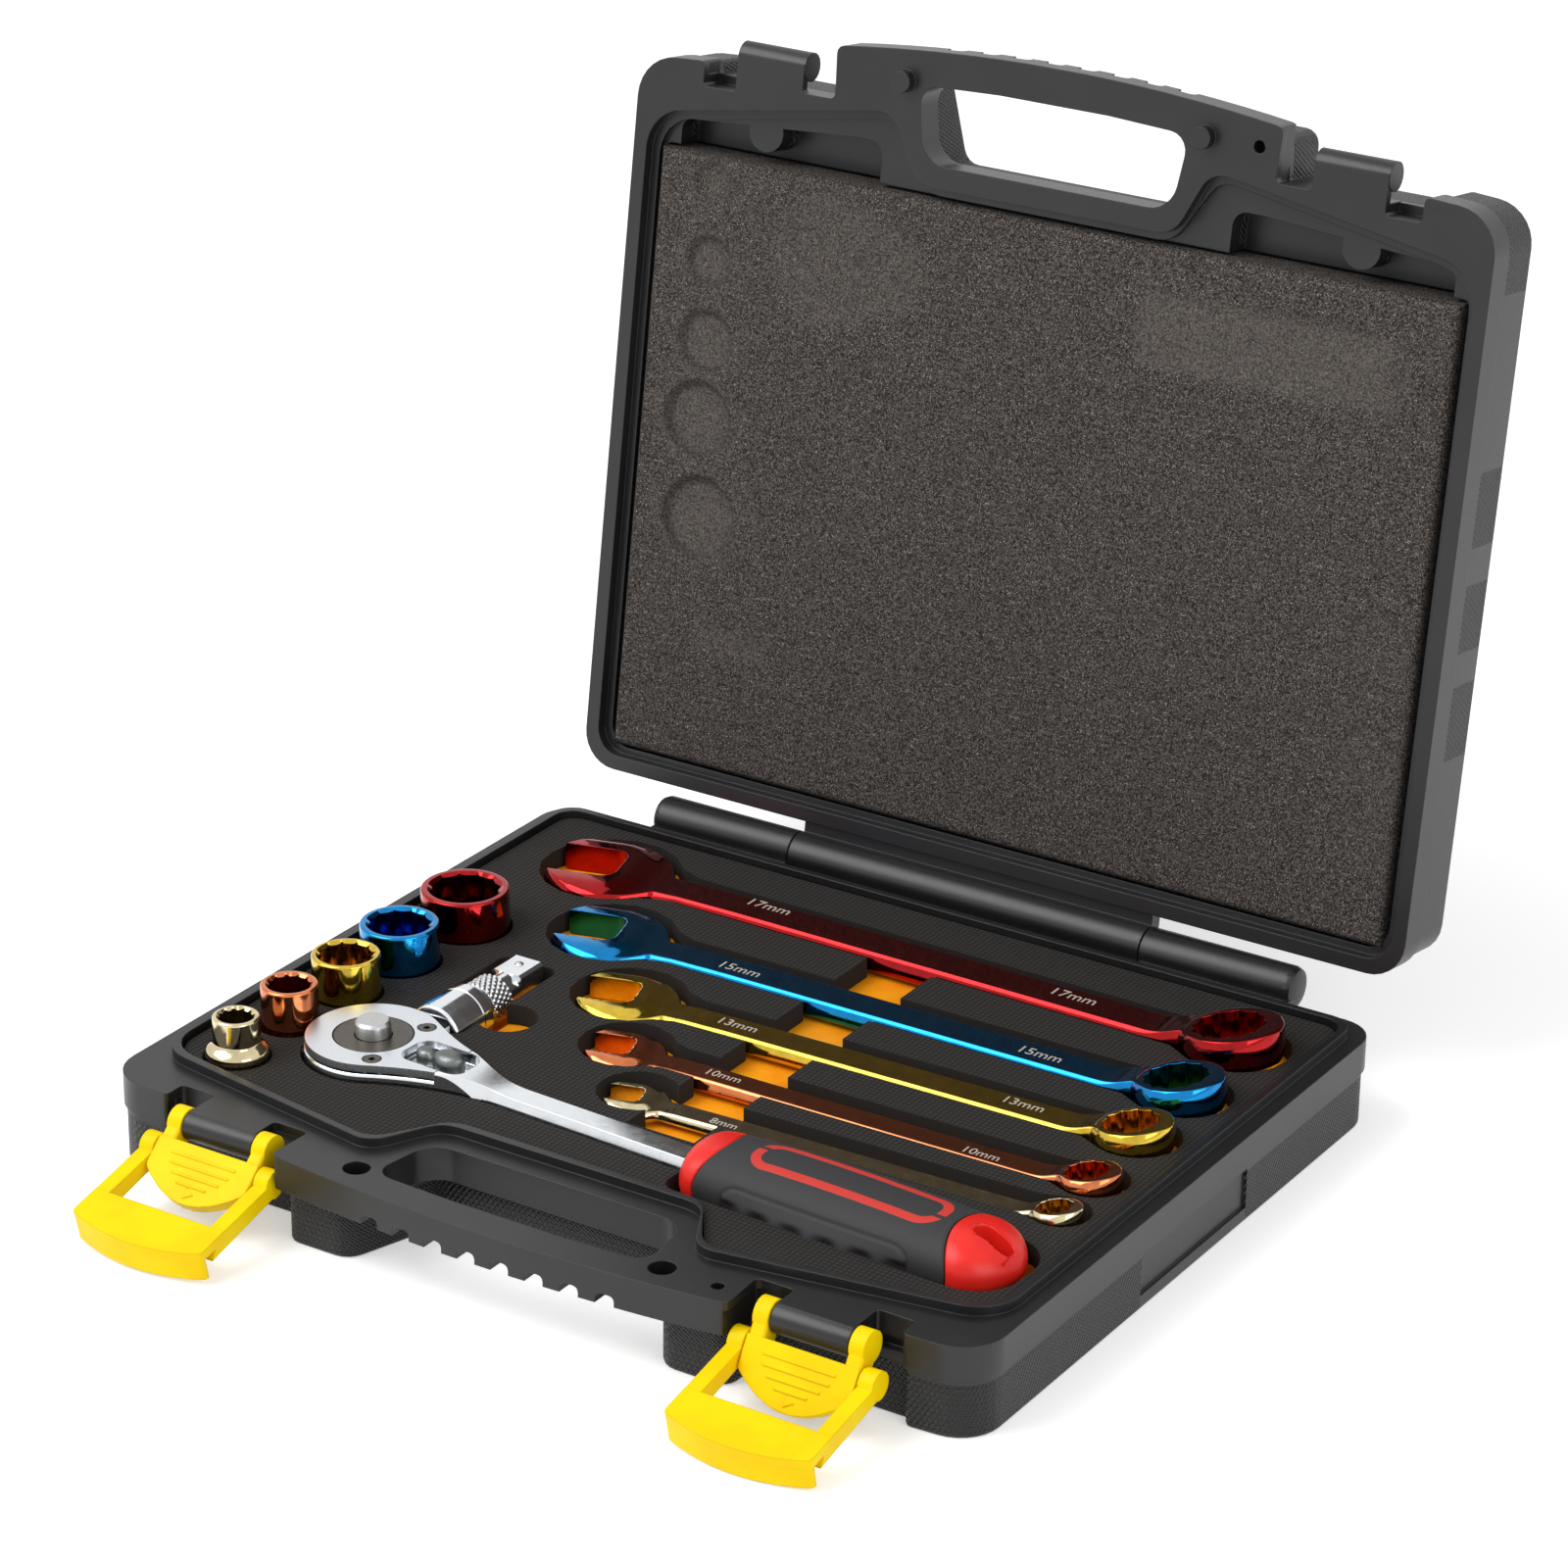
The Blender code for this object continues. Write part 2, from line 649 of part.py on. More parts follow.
def lid_window(side):
    """A rounded opening in the lid's inner skin, with a half-round boss left in its edge."""
    corners = [
        (EAR_HALF + 5 * MM, LID_FOAM_FRONT + 5 * MM, 0),
        (EAR_HALF + 5 * MM, WINDOW_FRONT, 4 * MM),
        (EAR_HALF + 13 * MM, WINDOW_FRONT, 4 * MM),
        (CASE_W / 2 - 12 * MM, WINDOW_FRONT + 4 * MM, 3 * MM),
        (CASE_W / 2 - 12 * MM, LID_FOAM_FRONT + 5 * MM, 0),
    ]
    if side < 0:
        corners = [(-x, y, r) for x, y, r in reversed(corners)]
    window = slab(rounded(corners), SHELF_H - 1 * MM, WINDOW_H)
    return cut(window, cylinder(BOSS_R, 0, WINDOW_H + 2 * MM, (side * BOSS_X, WINDOW_FRONT + 3.5 * MM), 20))


def lid_shell():
    """Drawn shut, above the parting plane, and then swung back on the hinge."""
    shell = shell_blank()
    shell.data.transform(Matrix.Diagonal((1, 1, -1, 1)))
    shell.data.flip_normals()
    move(shell, z=SHUT_GAP)
    top = SHELL_H + SHUT_GAP
    cut(shell, slab(ridge_outline(-REBATE_CLEAR), -2 * MM, REBATE_H + SHUT_GAP))
    cut(shell, slab(ridge_outline(RIDGE_T), 1 * MM, SHELF_H))
    cut(shell, lid_window(-1), lid_window(1))
    half = LID_FOAM_HALF + LID_FOAM_CLEAR
    cut(shell, slab(rounded(mirrored([
        (half, LID_FOAM_FRONT - LID_FOAM_CLEAR, 2 * MM),
        (half, LID_FOAM_BACK + LID_FOAM_CLEAR, 5 * MM),
    ])), 1 * MM, top - FLOOR_T))
    cut(shell, slab(slot_outline(), -2 * MM, top))
    half = KNUCKLE_HALF - KNUCKLE_CLEAR / 2
    join(shell, web(-half, half, 1), barrel(-half, half))
    cut(shell, pin_bore())
    join(shell, *[cylinder(PEG_R, -PEG_LEN, SHUT_GAP + 1 * MM, (side * PEG_X, PEG_Y), 20)
                  for side in (-1, 1)])
    cut(shell, cylinder(SCREW_R, -1 * MM, 6 * MM, (SCREW_X, PEG_Y), 14))
    move(shell, y=-HINGE_Y)
    return finish(shell, "lid_shell", "case_plastic", (0, HINGE_Y, 0), -LID_OPEN)


def hinge_pin():
    pin = rod_x(PIN_R, -BARREL_HALF + 1.5 * MM, BARREL_HALF - 4.5 * MM, 0, 0, 16)
    return finish(bevel(pin, FIT), "hinge_pin", "satin_steel", (0, HINGE_Y, 0))


# ---------------------------------------------------------------- latches

def bar_point():
    return Vector((0, BAR_Y, -BAR_DROP))


def curved_end(half, length, depth):
    """The right-hand half of a plate's free edge, bowed out by depth at the middle."""
    return [(half * share, length - depth * share ** 2, 0) for share in (0.8, 0.55, 0.3, 0.1)]


def latch_handle(side):
    """The plate that turns on the base's bar, drawn hanging straight down from the bar's centre."""
    arm_in = BAR_HALF + ARM_CLEAR
    arm_out = arm_in + ARM_T
    start = BAR_R + 1.6 * MM
    plate = mirrored([(arm_out, start, 0), (arm_out, HANDLE_LEN - HANDLE_BOW, 2 * MM)]
                      + curved_end(arm_out, HANDLE_LEN, HANDLE_BOW))
    handle = slab([(x, -y) for x, y in rounded(plate)], -HANDLE_T / 2, HANDLE_T / 2)
    turn(handle, math.radians(90), "X")
    move(handle, y=-HANDLE_T / 2 - FIT)
    for end in (-1, 1):
        x0, x1 = sorted((end * arm_in, end * (arm_out - 0.05 * MM)))
        arm = box(x0, x1, -HANDLE_T, EYE_R - 1.2 * MM, -BAIL_PIVOT - 3.6 * MM, 0)
        join(handle, bevel(arm, 0.5 * MM), rod_x(EYE_R, x0, x1, 0, 0, 18))
        n0, n1 = sorted((end * (BAR_HALF - NUB_LEN), end * (arm_in + 1 * MM)))
        join(handle, rod_x(NUB_R, n0, n1, 0, 0, 14))
        hole = sorted((end * (arm_out - NUB_LEN - FIT), end * (arm_out + 1 * MM)))
        cut(handle, rod_x(NUB_R + FIT, *hole, 0, -BAIL_PIVOT, 14))
    at = bar_point() + Vector((LATCH_X if side == "right" else -LATCH_X, 0, 0))
    return finish(handle, f"latch_handle_{side}", "latch_plastic", at,
                  HANDLE_DROP[side] - math.radians(90))


def latch_bail(side):
    """The frame that hooks over the lid's bar, drawn standing straight up from its own pivot."""
    arm_in = BAR_HALF + ARM_CLEAR + ARM_T + ARM_CLEAR
    arm_out = arm_in + ARM_T
    corner = (arm_out, BAIL_LEN - BAIL_BOW, 1.5 * MM)
    edge = mirrored([(arm_out, BAIL_HOOK, 0), corner] + curved_end(arm_out, BAIL_LEN, BAIL_BOW))
    bail = slab(rounded(edge), -BAIL_T / 2, BAIL_T / 2)
    inside = mirrored(curved_end(arm_out * 0.96, BAIL_LEN - LIP_T, BAIL_BOW))
    lip = mirrored([(arm_out, BAIL_LEN - BAIL_BOW - 0.4 * LIP_T, 0), corner]
                    + curved_end(arm_out, BAIL_LEN, BAIL_BOW)) + inside[::-1]
    join(bail, slab([(x * 0.997, y - 0.05 * MM) for x, y in rounded(lip)], 0, LIP_LEN))
    turn(bail, math.radians(90), "X")
    for end in (-1, 1):
        x0, x1 = sorted((end * arm_in, end * (arm_out - 0.05 * MM)))
        arm = slab([
            (-BAIL_T / 2 - 1.6 * MM, 0), (BAIL_T / 2 - 0.2 * MM, 0),
            (BAIL_T / 2 - 0.1 * MM, BAIL_HOOK + 2 * MM), (-BAIL_T / 2 - 2.4 * MM, BAIL_HOOK + 6 * MM),
        ], x0, x1)
        arm.data.transform(Matrix(((0, 0, 1, 0), (1, 0, 0, 0), (0, 1, 0, 0), (0, 0, 0, 1))))
        join(bail, arm, rod_x(BAIL_EYE_R, x0, x1, 0, 0, 18))
        n0, n1 = sorted((end * (arm_in - ARM_CLEAR - NUB_LEN), end * (arm_in + 1 * MM)))
        join(bail, rod_x(NUB_R, n0, n1, 0, 0, 14))
    drop = HANDLE_DROP[side]
    at = bar_point() - BAIL_PIVOT * Vector((0, math.cos(drop), math.sin(drop)))
    at.x = LATCH_X if side == "right" else -LATCH_X
    return finish(bail, f"latch_bail_{side}", "latch_plastic", at, math.radians(90) + BAIL_DROP[side])


# ---------------------------------------------------------------- sockets and spanners

def star(size):
    """A twelve-point outline for a nut of this size, with its points blunted."""
    flat = size * MM / 2 + NUT_CLEAR
    tip = flat / math.cos(math.radians(30)) * 0.975
    notch = flat / math.cos(math.radians(15))
    return [
        Vector(((tip if k % 2 else notch) * math.cos(math.radians(15 * k)),
                (tip if k % 2 else notch) * math.sin(math.radians(15 * k))))
        for k in range(24)
    ]


def socket(size):
    radius, height, place = SOCKETS[size]
    drive_r = max(radius - 0.5 * MM, SOCKET_BASE_R)
    edge = 0.8 * MM
    profile = [(0, height), (radius - edge, height), (radius, height - edge)]
    if drive_r > radius:
        step = (0.36 if size < 10 else 0.5) * height
        profile += [(radius, height - step + 3 * MM), (drive_r, height - step)]
    else:
        profile += [(radius, 9 * MM), (drive_r, 8.4 * MM)]
    profile += [(drive_r, edge), (drive_r - edge, 0), (0, 0)]
    body = turned(profile, 20)
    mouth = max(p.length for p in star(size))
    cut(body, slab(star(size), 0.55 * height, height + 1 * MM))
    cut(body, cylinder(mouth - 0.4 * MM, height - 0.7 * MM, height + 0.5 * MM, segments=20,
                       top=mouth + 0.9 * MM))
    side = DRIVE / 2 + DRIVE_CLEAR
    cut(body, box(-side, side, -side, side, -1 * MM, DRIVE_DEPTH))
    cut(body, cylinder(0.4 * size * MM, DRIVE_DEPTH - 1 * MM, 0.6 * height, segments=16))
    return finish(body, f"socket_{size}mm", SIZE_LOOK[size], (*place, SOCKET_TOP - height))


def spanner_sizes(size):
    """Widths and thicknesses that follow from the nominal size."""
    s = size * MM
    return {
        "head_r": 1.02 * s + 0.8 * MM,
        "ring_r": 0.735 * s + 0.6 * MM,
        "shank": 0.31 * s + 1.6 * MM,
        "head_t": 0.33 * s + 2.2 * MM,
        "ring_t": 0.42 * s + 2.4 * MM,
        "shank_t": 0.26 * s + 1.5 * MM,
    }


def blend(x, centre, radius, shank):
    """Half-width of the forging at x, where a round end runs into the shank."""
    reach = max(radius ** 2 - (x - centre) ** 2, 0) ** 0.5
    return (reach ** 4 + shank ** 4) ** 0.25


def jaw_centre(size):
    d = spanner_sizes(size)
    return -(SPANNERS[size][0] - d["ring_r"] - d["head_r"])


def spanner_outline(size, clear=0.0):
    """The whole spanner from above, its ring centred on the origin and its jaw at -X."""
    d = spanner_sizes(size)
    jaw = jaw_centre(size)
    head_r = d["head_r"] + clear
    ring_r = d["ring_r"] + clear
    shank = d["shank"] + clear
    upper = [(jaw - head_r * math.cos(math.radians(a)), head_r * math.sin(math.radians(a)))
             for a in range(0, 101, 20)]
    for share in (0.55, 0.85, 1.2):
        x = jaw + head_r * share
        upper.append((x, blend(x, jaw, head_r, shank)))
    for share in (-1.5, -1.0):
        x = ring_r * share
        upper.append((x, blend(x, 0, ring_r, shank)))
    upper += [(ring_r * math.cos(math.radians(a)), ring_r * math.sin(math.radians(a)))
              for a in range(120, -1, -20)]
    return [Vector(p) for p in upper] + [Vector((x, -y)) for x, y in reversed(upper[1:-1])]


def spanner_place(size):
    return RING_END_X - spanner_sizes(size)["ring_r"], SPANNERS[size][1]


def ring_seat(size):
    """Height of the middle of the ring's underside over the spanner's own underside."""
    return FIT + spanner_sizes(size)["ring_r"] * math.sin(RING_TILT)


def tilted(obj, size):
    """Leans a piece drawn upright at the ring, and stands it in the ring's place."""
    return move(turn(obj, -RING_TILT, "Y"), z=ring_seat(size))


def spanner(size):
    """Drawn with its underside at height zero."""
    d = spanner_sizes(size)
    jaw = jaw_centre(size)
    s = size * MM
    body = slab(spanner_outline(size, -0.4 * MM), SHANK_LIFT, SHANK_LIFT + d["shank_t"])
    cut(body, box(-0.62 * d["ring_r"], 2 * d["ring_r"], -2 * d["ring_r"], 2 * d["ring_r"], -1 * MM, 20 * MM))
    bevel(body, 0.5 * MM)
    head = bevel(cylinder(d["head_r"], 0, d["head_t"], (jaw, 0), 28), 0.7 * MM)
    ring = tilted(bevel(cylinder(d["ring_r"], 0, d["ring_t"], segments=28), 0.8 * MM), size)
    join(body, head, ring)
    deep = JAW_DEPTH * s
    reach = 2.2 * d["head_r"]
    mouth = slab(rounded([(deep, -s / 2, 0.25 * s), (deep, s / 2, 0.25 * s),
                          (-reach, s / 2, 0), (-reach, -s / 2, 0)]), -2 * MM, d["ring_t"] + 3 * MM)
    turn(mouth, JAW_ANGLE)
    move(mouth, x=jaw)
    cut(body, mouth)
    cut(body, tilted(slab(star(size), -3 * MM, d["ring_t"] + 3 * MM), size))
    return finish(body, f"spanner_{size}mm", SIZE_LOOK[size], (*spanner_place(size), LAYER_Z),
                  spin=math.radians(SPANNERS[size][2]))


# ---------------------------------------------------------------- ratchet

def pear(clear=0.0, end=GRIP_START - FIT):
    """Outline of the ratchet's head, neck and shaft."""
    radius = HEAD_R + clear
    shaft = SHAFT_HALF + clear
    upper = [(radius * math.cos(math.radians(a)), radius * math.sin(math.radians(a)))
             for a in range(180, 59, -12)]
    x1, h1 = upper[-1]
    slope = -x1 / h1
    span = NECK_END - x1
    for k in range(1, 8):
        u = k / 7
        width = (2 * u ** 3 - 3 * u ** 2 + 1) * h1 + (u ** 3 - 2 * u ** 2 + u) * span * slope
        upper.append((x1 + span * u, width + (3 * u ** 2 - 2 * u ** 3) * shaft))
    upper.append((end, shaft))
    return [Vector(p) for p in upper] + [Vector((x, -y)) for x, y in reversed(upper[1:])]


def plate_blank(clear, z0, z1):
    """The cover plate's solid: the head's outline, stepped in and squared off at the seam."""
    plate = slab(pear(clear - PLATE_EDGE), z0, z1)
    return cut(plate, box(SEAM + clear, GRIP_START + 20 * MM, -HEAD_R, HEAD_R, z0 - 1 * MM, z1 + 1 * MM))


def lever_recess(z0):
    half = RECESS_HALF_W
    x0 = LEVER_PIVOT - LEVER_R - 1.6 * MM
    x1 = LEVER_PIVOT + LEVER_REACH + LEVER_R + 1.6 * MM
    return slab(rounded([(x0, -half, 4 * MM), (x1, -half, 4 * MM), (x1, half, 4 * MM), (x0, half, 4 * MM)]),
                z0, RATCHET_TOP + 2 * MM)


def ratchet_body():
    body = slab(pear(), SHAFT_BOTTOM, RATCHET_TOP)
    over = RATCHET_TOP + 3 * MM
    drop = slab([Vector((SLOPE_START, RATCHET_TOP)), Vector((NECK_END, SHAFT_TOP)),
                 Vector((GRIP_START + 1 * MM, SHAFT_TOP)), Vector((GRIP_START + 1 * MM, over)),
                 Vector((SLOPE_START, over))], -HEAD_R, HEAD_R)
    body = bevel(cut(body, turn(drop, math.radians(90), "X")), 1.1 * MM)
    join(body, bevel(cylinder(HEAD_R - 0.4 * MM, HEAD_BOTTOM, 0, segments=40), 1.2 * MM))
    cut(body, plate_blank(FIT, RATCHET_TOP - PLATE_T - FIT, RATCHET_TOP + 2 * MM))
    cut(body, lever_recess(RECESS_FLOOR))
    low = GEAR_BOTTOM - FIT
    cut(body, cylinder(GEAR_R + GEAR_CLEAR, low, RATCHET_TOP + 1 * MM, segments=36))
    cut(body, cylinder(CHAMBER_R, low, RATCHET_TOP + 1 * MM, (LEVER_PIVOT, 0), 24))
    cut(body, cylinder(HUB_R + FIT, HEAD_BOTTOM - 1 * MM, 0, segments=28))
    for side in (-1, 1):
        cut(body, cylinder(SCREW_SHANK_R + FIT, -3 * MM, RATCHET_TOP, (SCREW_AT[0], side * SCREW_AT[1]), 12))
    join(body, rod_x(TANG_R, GRIP_START - 1 * MM, GRIP_START + TANG_LEN, 0, GRIP_Z, 16))
    return finish(body, "ratchet_body", "chrome", parent="ratchet_frame")


def cover_plate():
    plate = plate_blank(0, RATCHET_TOP - PLATE_T, RATCHET_TOP)
    cut(plate, cylinder(DISC_R + FIT, 0, RATCHET_TOP + 1 * MM, segments=36))
    cut(plate, lever_recess(0))
    for side in (-1, 1):
        cut(plate, cylinder(SCREW_SHANK_R + FIT, 0, RATCHET_TOP + FIT, (SCREW_AT[0], side * SCREW_AT[1]), 16,
                            top=SCREW_HEAD_R + FIT))
    return finish(plate, "ratchet_cover_plate", "chrome", parent="ratchet_frame")


def cover_screw(side, name):
    """A countersunk screw with a star recess."""
    head = PLATE_T
    screw = turned([(0, 0), (SCREW_HEAD_R, 0), (SCREW_SHANK_R, -head),
                    (SCREW_SHANK_R, -head - 4.5 * MM), (0, -head - 4.5 * MM)], 16)
    recess = [Vector((r * math.cos(math.radians(30 * k)), r * math.sin(math.radians(30 * k))))
              for k, r in enumerate([1.1 * MM, 0.75 * MM] * 6)]
    cut(screw, slab(recess, -1.2 * MM, 1 * MM))
    return finish(screw, name, "dark_steel", (SCREW_AT[0], side * SCREW_AT[1], RATCHET_TOP - 0.1 * MM),
                  parent="ratchet_frame")


def drive_gear():
    teeth = []
    for k in range(GEAR_TEETH):
        for share, radius in ((0.0, GEAR_R - TOOTH), (0.5, GEAR_R)):
            a = 2 * math.pi * (k + share) / GEAR_TEETH
            teeth.append(Vector((radius * math.cos(a), radius * math.sin(a))))
    gear = slab(teeth, GEAR_BOTTOM, GEAR_TOP)
    join(gear, cylinder(DISC_R, 0, RATCHET_TOP - 0.1 * MM, segments=36))
    join(gear, cylinder(HUB_R, HEAD_BOTTOM + FIT, 0, segments=28))
    half = DRIVE / 2
    join(gear, bevel(box(-half, half, -half, half, DRIVE_END, 0), 0.8 * MM))
    cut(gear, cylinder(BUTTON_R + FIT, BUTTON_TOP - BUTTON_T - BUTTON_TRAVEL - FIT, RATCHET_TOP + 1 * MM,
                       segments=24))
    cut(gear, cylinder(STEM_R + FIT, DRIVE_END - 1 * MM, 2 * MM, segments=16))
    cut(gear, rod_x(BALL_R + FIT, 0.5 * STEM_R, DRIVE, 0, DRIVE_END + 5 * MM, 14))
    return finish(gear, "drive_gear", "dark_steel", parent="ratchet_frame")


def release_button():
    button = bevel(cylinder(BUTTON_R, 0, BUTTON_T, segments=28), 0.7 * MM)
    bottom = DRIVE_END + BUTTON_TRAVEL + FIT - (BUTTON_TOP - BUTTON_T)
    join(button, cylinder(STEM_R, bottom, 1 * MM, segments=16))
    return finish(button, "release_button", "satin_steel", (0, 0, BUTTON_TOP - BUTTON_T),
                  parent="ratchet_frame")


def detent_ball(name, at, parent):
    return finish(sphere(BALL_R, (0, 0, 0)), name, "satin_steel", at, parent=parent)


def reverse_lever():
    base = RECESS_FLOOR + FIT
    lever = cylinder(LEVER_HUB_R, base, LEVER_TOP, segments=24)
    tip = LEVER_REACH + LEVER_HUB_R
    arm = slab(rounded([(0, -LEVER_HUB_R * 0.8, 0), (tip, -LEVER_R * 0.9, LEVER_R * 0.6),
                        (tip, LEVER_R * 0.9, LEVER_R * 0.6), (0, LEVER_HUB_R * 0.8, 0)]),
               base + 0.1 * MM, LEVER_TOP - 1.0 * MM)
    knob = cylinder(LEVER_R, base + 0.2 * MM, LEVER_TOP + 0.8 * MM, (tip - LEVER_R, 0), 20, top=LEVER_R * 0.7)
    join(lever, arm, knob)
    join(lever, cylinder(LEVER_STEM_R, GEAR_BOTTOM + FIT, base + 0.5 * MM, segments=14))
    return finish(lever, "reverse_lever", "pewter", (LEVER_PIVOT, 0, 0), parent="ratchet_frame")


def pawl():
    """The two-faced pawl under the lever, its nose towards the gear."""
    nose = PAWL_REACH * 0.88
    shape = [(-PAWL_REACH, 0, 0.4 * MM), (-nose, -PAWL_HALF, 0.6 * MM), (PAWL_HALF, -PAWL_HALF, PAWL_HALF * 0.9),
             (PAWL_HALF, PAWL_HALF, PAWL_HALF * 0.9), (-nose, PAWL_HALF, 0.6 * MM)]
    body = slab(rounded(shape), GEAR_BOTTOM + FIT, RECESS_FLOOR - 0.4 * MM)
    cut(body, cylinder(LEVER_STEM_R + FIT, GEAR_BOTTOM - 1 * MM, RECESS_FLOOR + 1 * MM, segments=14))
    return finish(body, "pawl", "dark_steel", (LEVER_PIVOT, 0, 0), parent="ratchet_frame")


def grip_turned(profile):
    """A solid along the grip from (distance, half-width) pairs, flattened to the grip's section."""
    obj = turned([(radius, x) for x, radius in reversed(profile)], 22)
    turn(obj, math.radians(90), "Y")
    obj.data.transform(Matrix.Diagonal((1, 1, GRIP_FLAT, 1)))
    return move(obj, z=GRIP_Z)


def grip_core():
    """Ferrule, core and end cap in one moulding."""
    cap = SLEEVE_END
    end = GRIP_END
    length = end - cap
    profile = [
        (GRIP_START, 0), (GRIP_START, 9.4 * MM), (GRIP_START + 1.2 * MM, 10.8 * MM),
        (GRIP_START + 4 * MM, 11.9 * MM), (SLEEVE_START - FIT, FERRULE_R), (SLEEVE_START - FIT, CORE_R),
        (cap + FIT, CORE_R), (cap + FIT, CAP_R), (cap + CAP_STRAIGHT * length, CAP_R),
    ]
    curve = length * (1 - CAP_STRAIGHT)
    profile += [(end - curve * (1 - math.sin(a)), CAP_R * math.cos(a) ** CAP_POWER)
                for a in (math.radians(d) for d in (20, 38, 54, 68, 80))]
    profile.append((end, 0))
    core = grip_turned(profile)
    cut(core, rod_x(TANG_R + FIT, GRIP_START - 1 * MM, GRIP_START + TANG_LEN + FIT, 0, GRIP_Z, 16))
    x1 = end - HANG_INSET + HANG_R
    x0 = x1 - HANG_LEN - 2 * HANG_R
    r = HANG_R * 0.999
    cut(core, slab(rounded([(x0, -HANG_R, r), (x1, -HANG_R, r), (x1, HANG_R, r), (x0, HANG_R, r)]),
                   -GRIP_R, GRIP_R))
    return finish(core, "grip_core", "red_plastic", parent="ratchet_frame")


def grip_sleeve():
    span = SLEEVE_END - SLEEVE_START
    widths = (12.6, 13.2, 13.8, 14.2, 14.2, 13.8, 13.4, 13.2)
    profile = [(SLEEVE_START, 0)]
    profile += [(SLEEVE_START + span * k / (len(widths) - 1), w * MM) for k, w in enumerate(widths)]
    profile.append((SLEEVE_END, 0))
    sleeve = grip_turned(profile)
    hole = grip_turned([(SLEEVE_START - 5 * MM, 0), (SLEEVE_START - 5 * MM, CORE_R + 0.4 * MM),
                        (SLEEVE_END + 5 * MM, CORE_R + 0.4 * MM), (SLEEVE_END + 5 * MM, 0)])
    cut(sleeve, hole)
    return finish(sleeve, "grip_sleeve", "black_rubber", parent="ratchet_frame")


# ---------------------------------------------------------------- extension bar

def extension_length():
    return EXT_BODY + EXT_NECK + EXT_COLLAR + EXT_STEM + EXT_TIP


def extension_bar():
    """Drawn along Y from its female end."""
    y = 0.0
    profile = [(0, 0), (EXT_R - 0.8 * MM, 0), (EXT_R, 0.8 * MM)]
    for length, radius, nxt in ((EXT_BODY, EXT_R, EXT_NECK_R), (EXT_NECK, EXT_NECK_R, EXT_COLLAR_R),
                                (EXT_COLLAR, EXT_COLLAR_R, EXT_STEM_R)):
        y += length
        profile += [(radius, y - 0.6 * MM), (nxt, y)]
    y += EXT_STEM
    profile += [(EXT_STEM_R, y + 0.5 * MM), (0, y + 0.5 * MM)]
    bar = turned(list(reversed(profile)), 20)
    half = DRIVE / 2
    tip = bevel(box(-half, half, -half, half, y, y + EXT_TIP), 0.8 * MM)
    join(bar, tip)
    side = half + DRIVE_CLEAR
    cut(bar, box(-side, side, -side, side, -1 * MM, DRIVE_DEPTH))
    turn(bar, math.radians(-90), "X")
    ball_y = extension_length() - 5 * MM
    cut(bar, cylinder(BALL_R + FIT, half + BALL_OUT - 2 * BALL_R - FIT, half + 2 * MM, (0, ball_y), 14))
    return finish(bar, "extension_bar", "chrome", (EXT_X, EXT_START, EXT_Z))


# ---------------------------------------------------------------- foam

def tool_cutters():
    """Solids that clear the foam for every tool but the spanners."""
    made = []
    for radius, height, place in SOCKETS.values():
        r = max(radius, SOCKET_BASE_R) + TOOL_CLEAR
        made.append(cylinder(r, SOCKET_TOP - height - FIT, RIDGE_H, place, 24))
    head = cylinder(HEAD_R + TOOL_CLEAR, HEAD_BOTTOM - FIT, RIDGE_H, segments=30)
    drive = cylinder(DRIVE / 2 * 1.5 + TOOL_CLEAR, DRIVE_END - FIT, HEAD_BOTTOM + 1 * MM, segments=20)
    low = GRIP_Z - GRIP_R * GRIP_FLAT - FIT
    half = max(GRIP_R, CAP_R, FERRULE_R) + TOOL_CLEAR
    grip = slab(rounded([
        (GRIP_START - 2 * MM, -half, 4 * MM), (GRIP_END + 1.5 * MM, -half, 12 * MM),
        (GRIP_END + 1.5 * MM, half, 12 * MM), (GRIP_START - 2 * MM, half, 4 * MM),
    ]), low, RIDGE_H)
    for obj in (head, drive, grip):
        turn(obj, RATCHET_TURN)
        made.append(move(obj, *HEAD))
    wide = EXT_R + TOOL_CLEAR
    made.append(slab(rounded([
        (EXT_X - wide, EXT_START - 1 * MM, 2 * MM), (EXT_X + wide, EXT_START - 1 * MM, 2 * MM),
        (EXT_X + wide, EXT_START + extension_length() + 1 * MM, 3 * MM),
        (EXT_X - wide, EXT_START + extension_length() + 1 * MM, 3 * MM),
    ]), EXT_Z - EXT_R - FIT, RIDGE_H))
    return made


def foam_orange():
    block = slab(ridge_outline(RIDGE_T + FOAM_CLEAR), -SHELL_H + FLOOR_T + FIT, LAYER_Z - FIT)
    cut(block, *tool_cutters())
    return finish(block, "base_foam_orange", "orange_foam")


def foam_black():
    layer = slab(ridge_outline(RIDGE_T + FOAM_CLEAR), LAYER_Z, FOAM_TOP)
    cut(layer, *tool_cutters())
    shaft = slab(pear(TOOL_CLEAR), LAYER_Z - 1 * MM, RIDGE_H)
    turn(shaft, RATCHET_TURN)
    cut(layer, move(shaft, *HEAD))
    for size in SPANNERS:
        x, y = spanner_place(size)
        slot = slab(spanner_outline(size, TOOL_CLEAR + SLOT_BACK_GAP / 2), LAYER_Z - 1 * MM, RIDGE_H)
        turn(slot, math.radians(SPANNERS[size][2]))
        cut(layer, move(slot, x, y + SLOT_BACK_GAP / 2))
    cut(layer, box(STRIP_X - STRIP_W / 2, STRIP_X + STRIP_W / 2, STRIP_FRONT, SPANNERS[17][1],
                   LAYER_Z - 1 * MM, RIDGE_H))
    cut(layer, cylinder(FINGER_HOLE_R, LAYER_Z - 1 * MM, RIDGE_H, FINGER_HOLE, 24))
    return finish(layer, "base_foam_black", "black_foam")


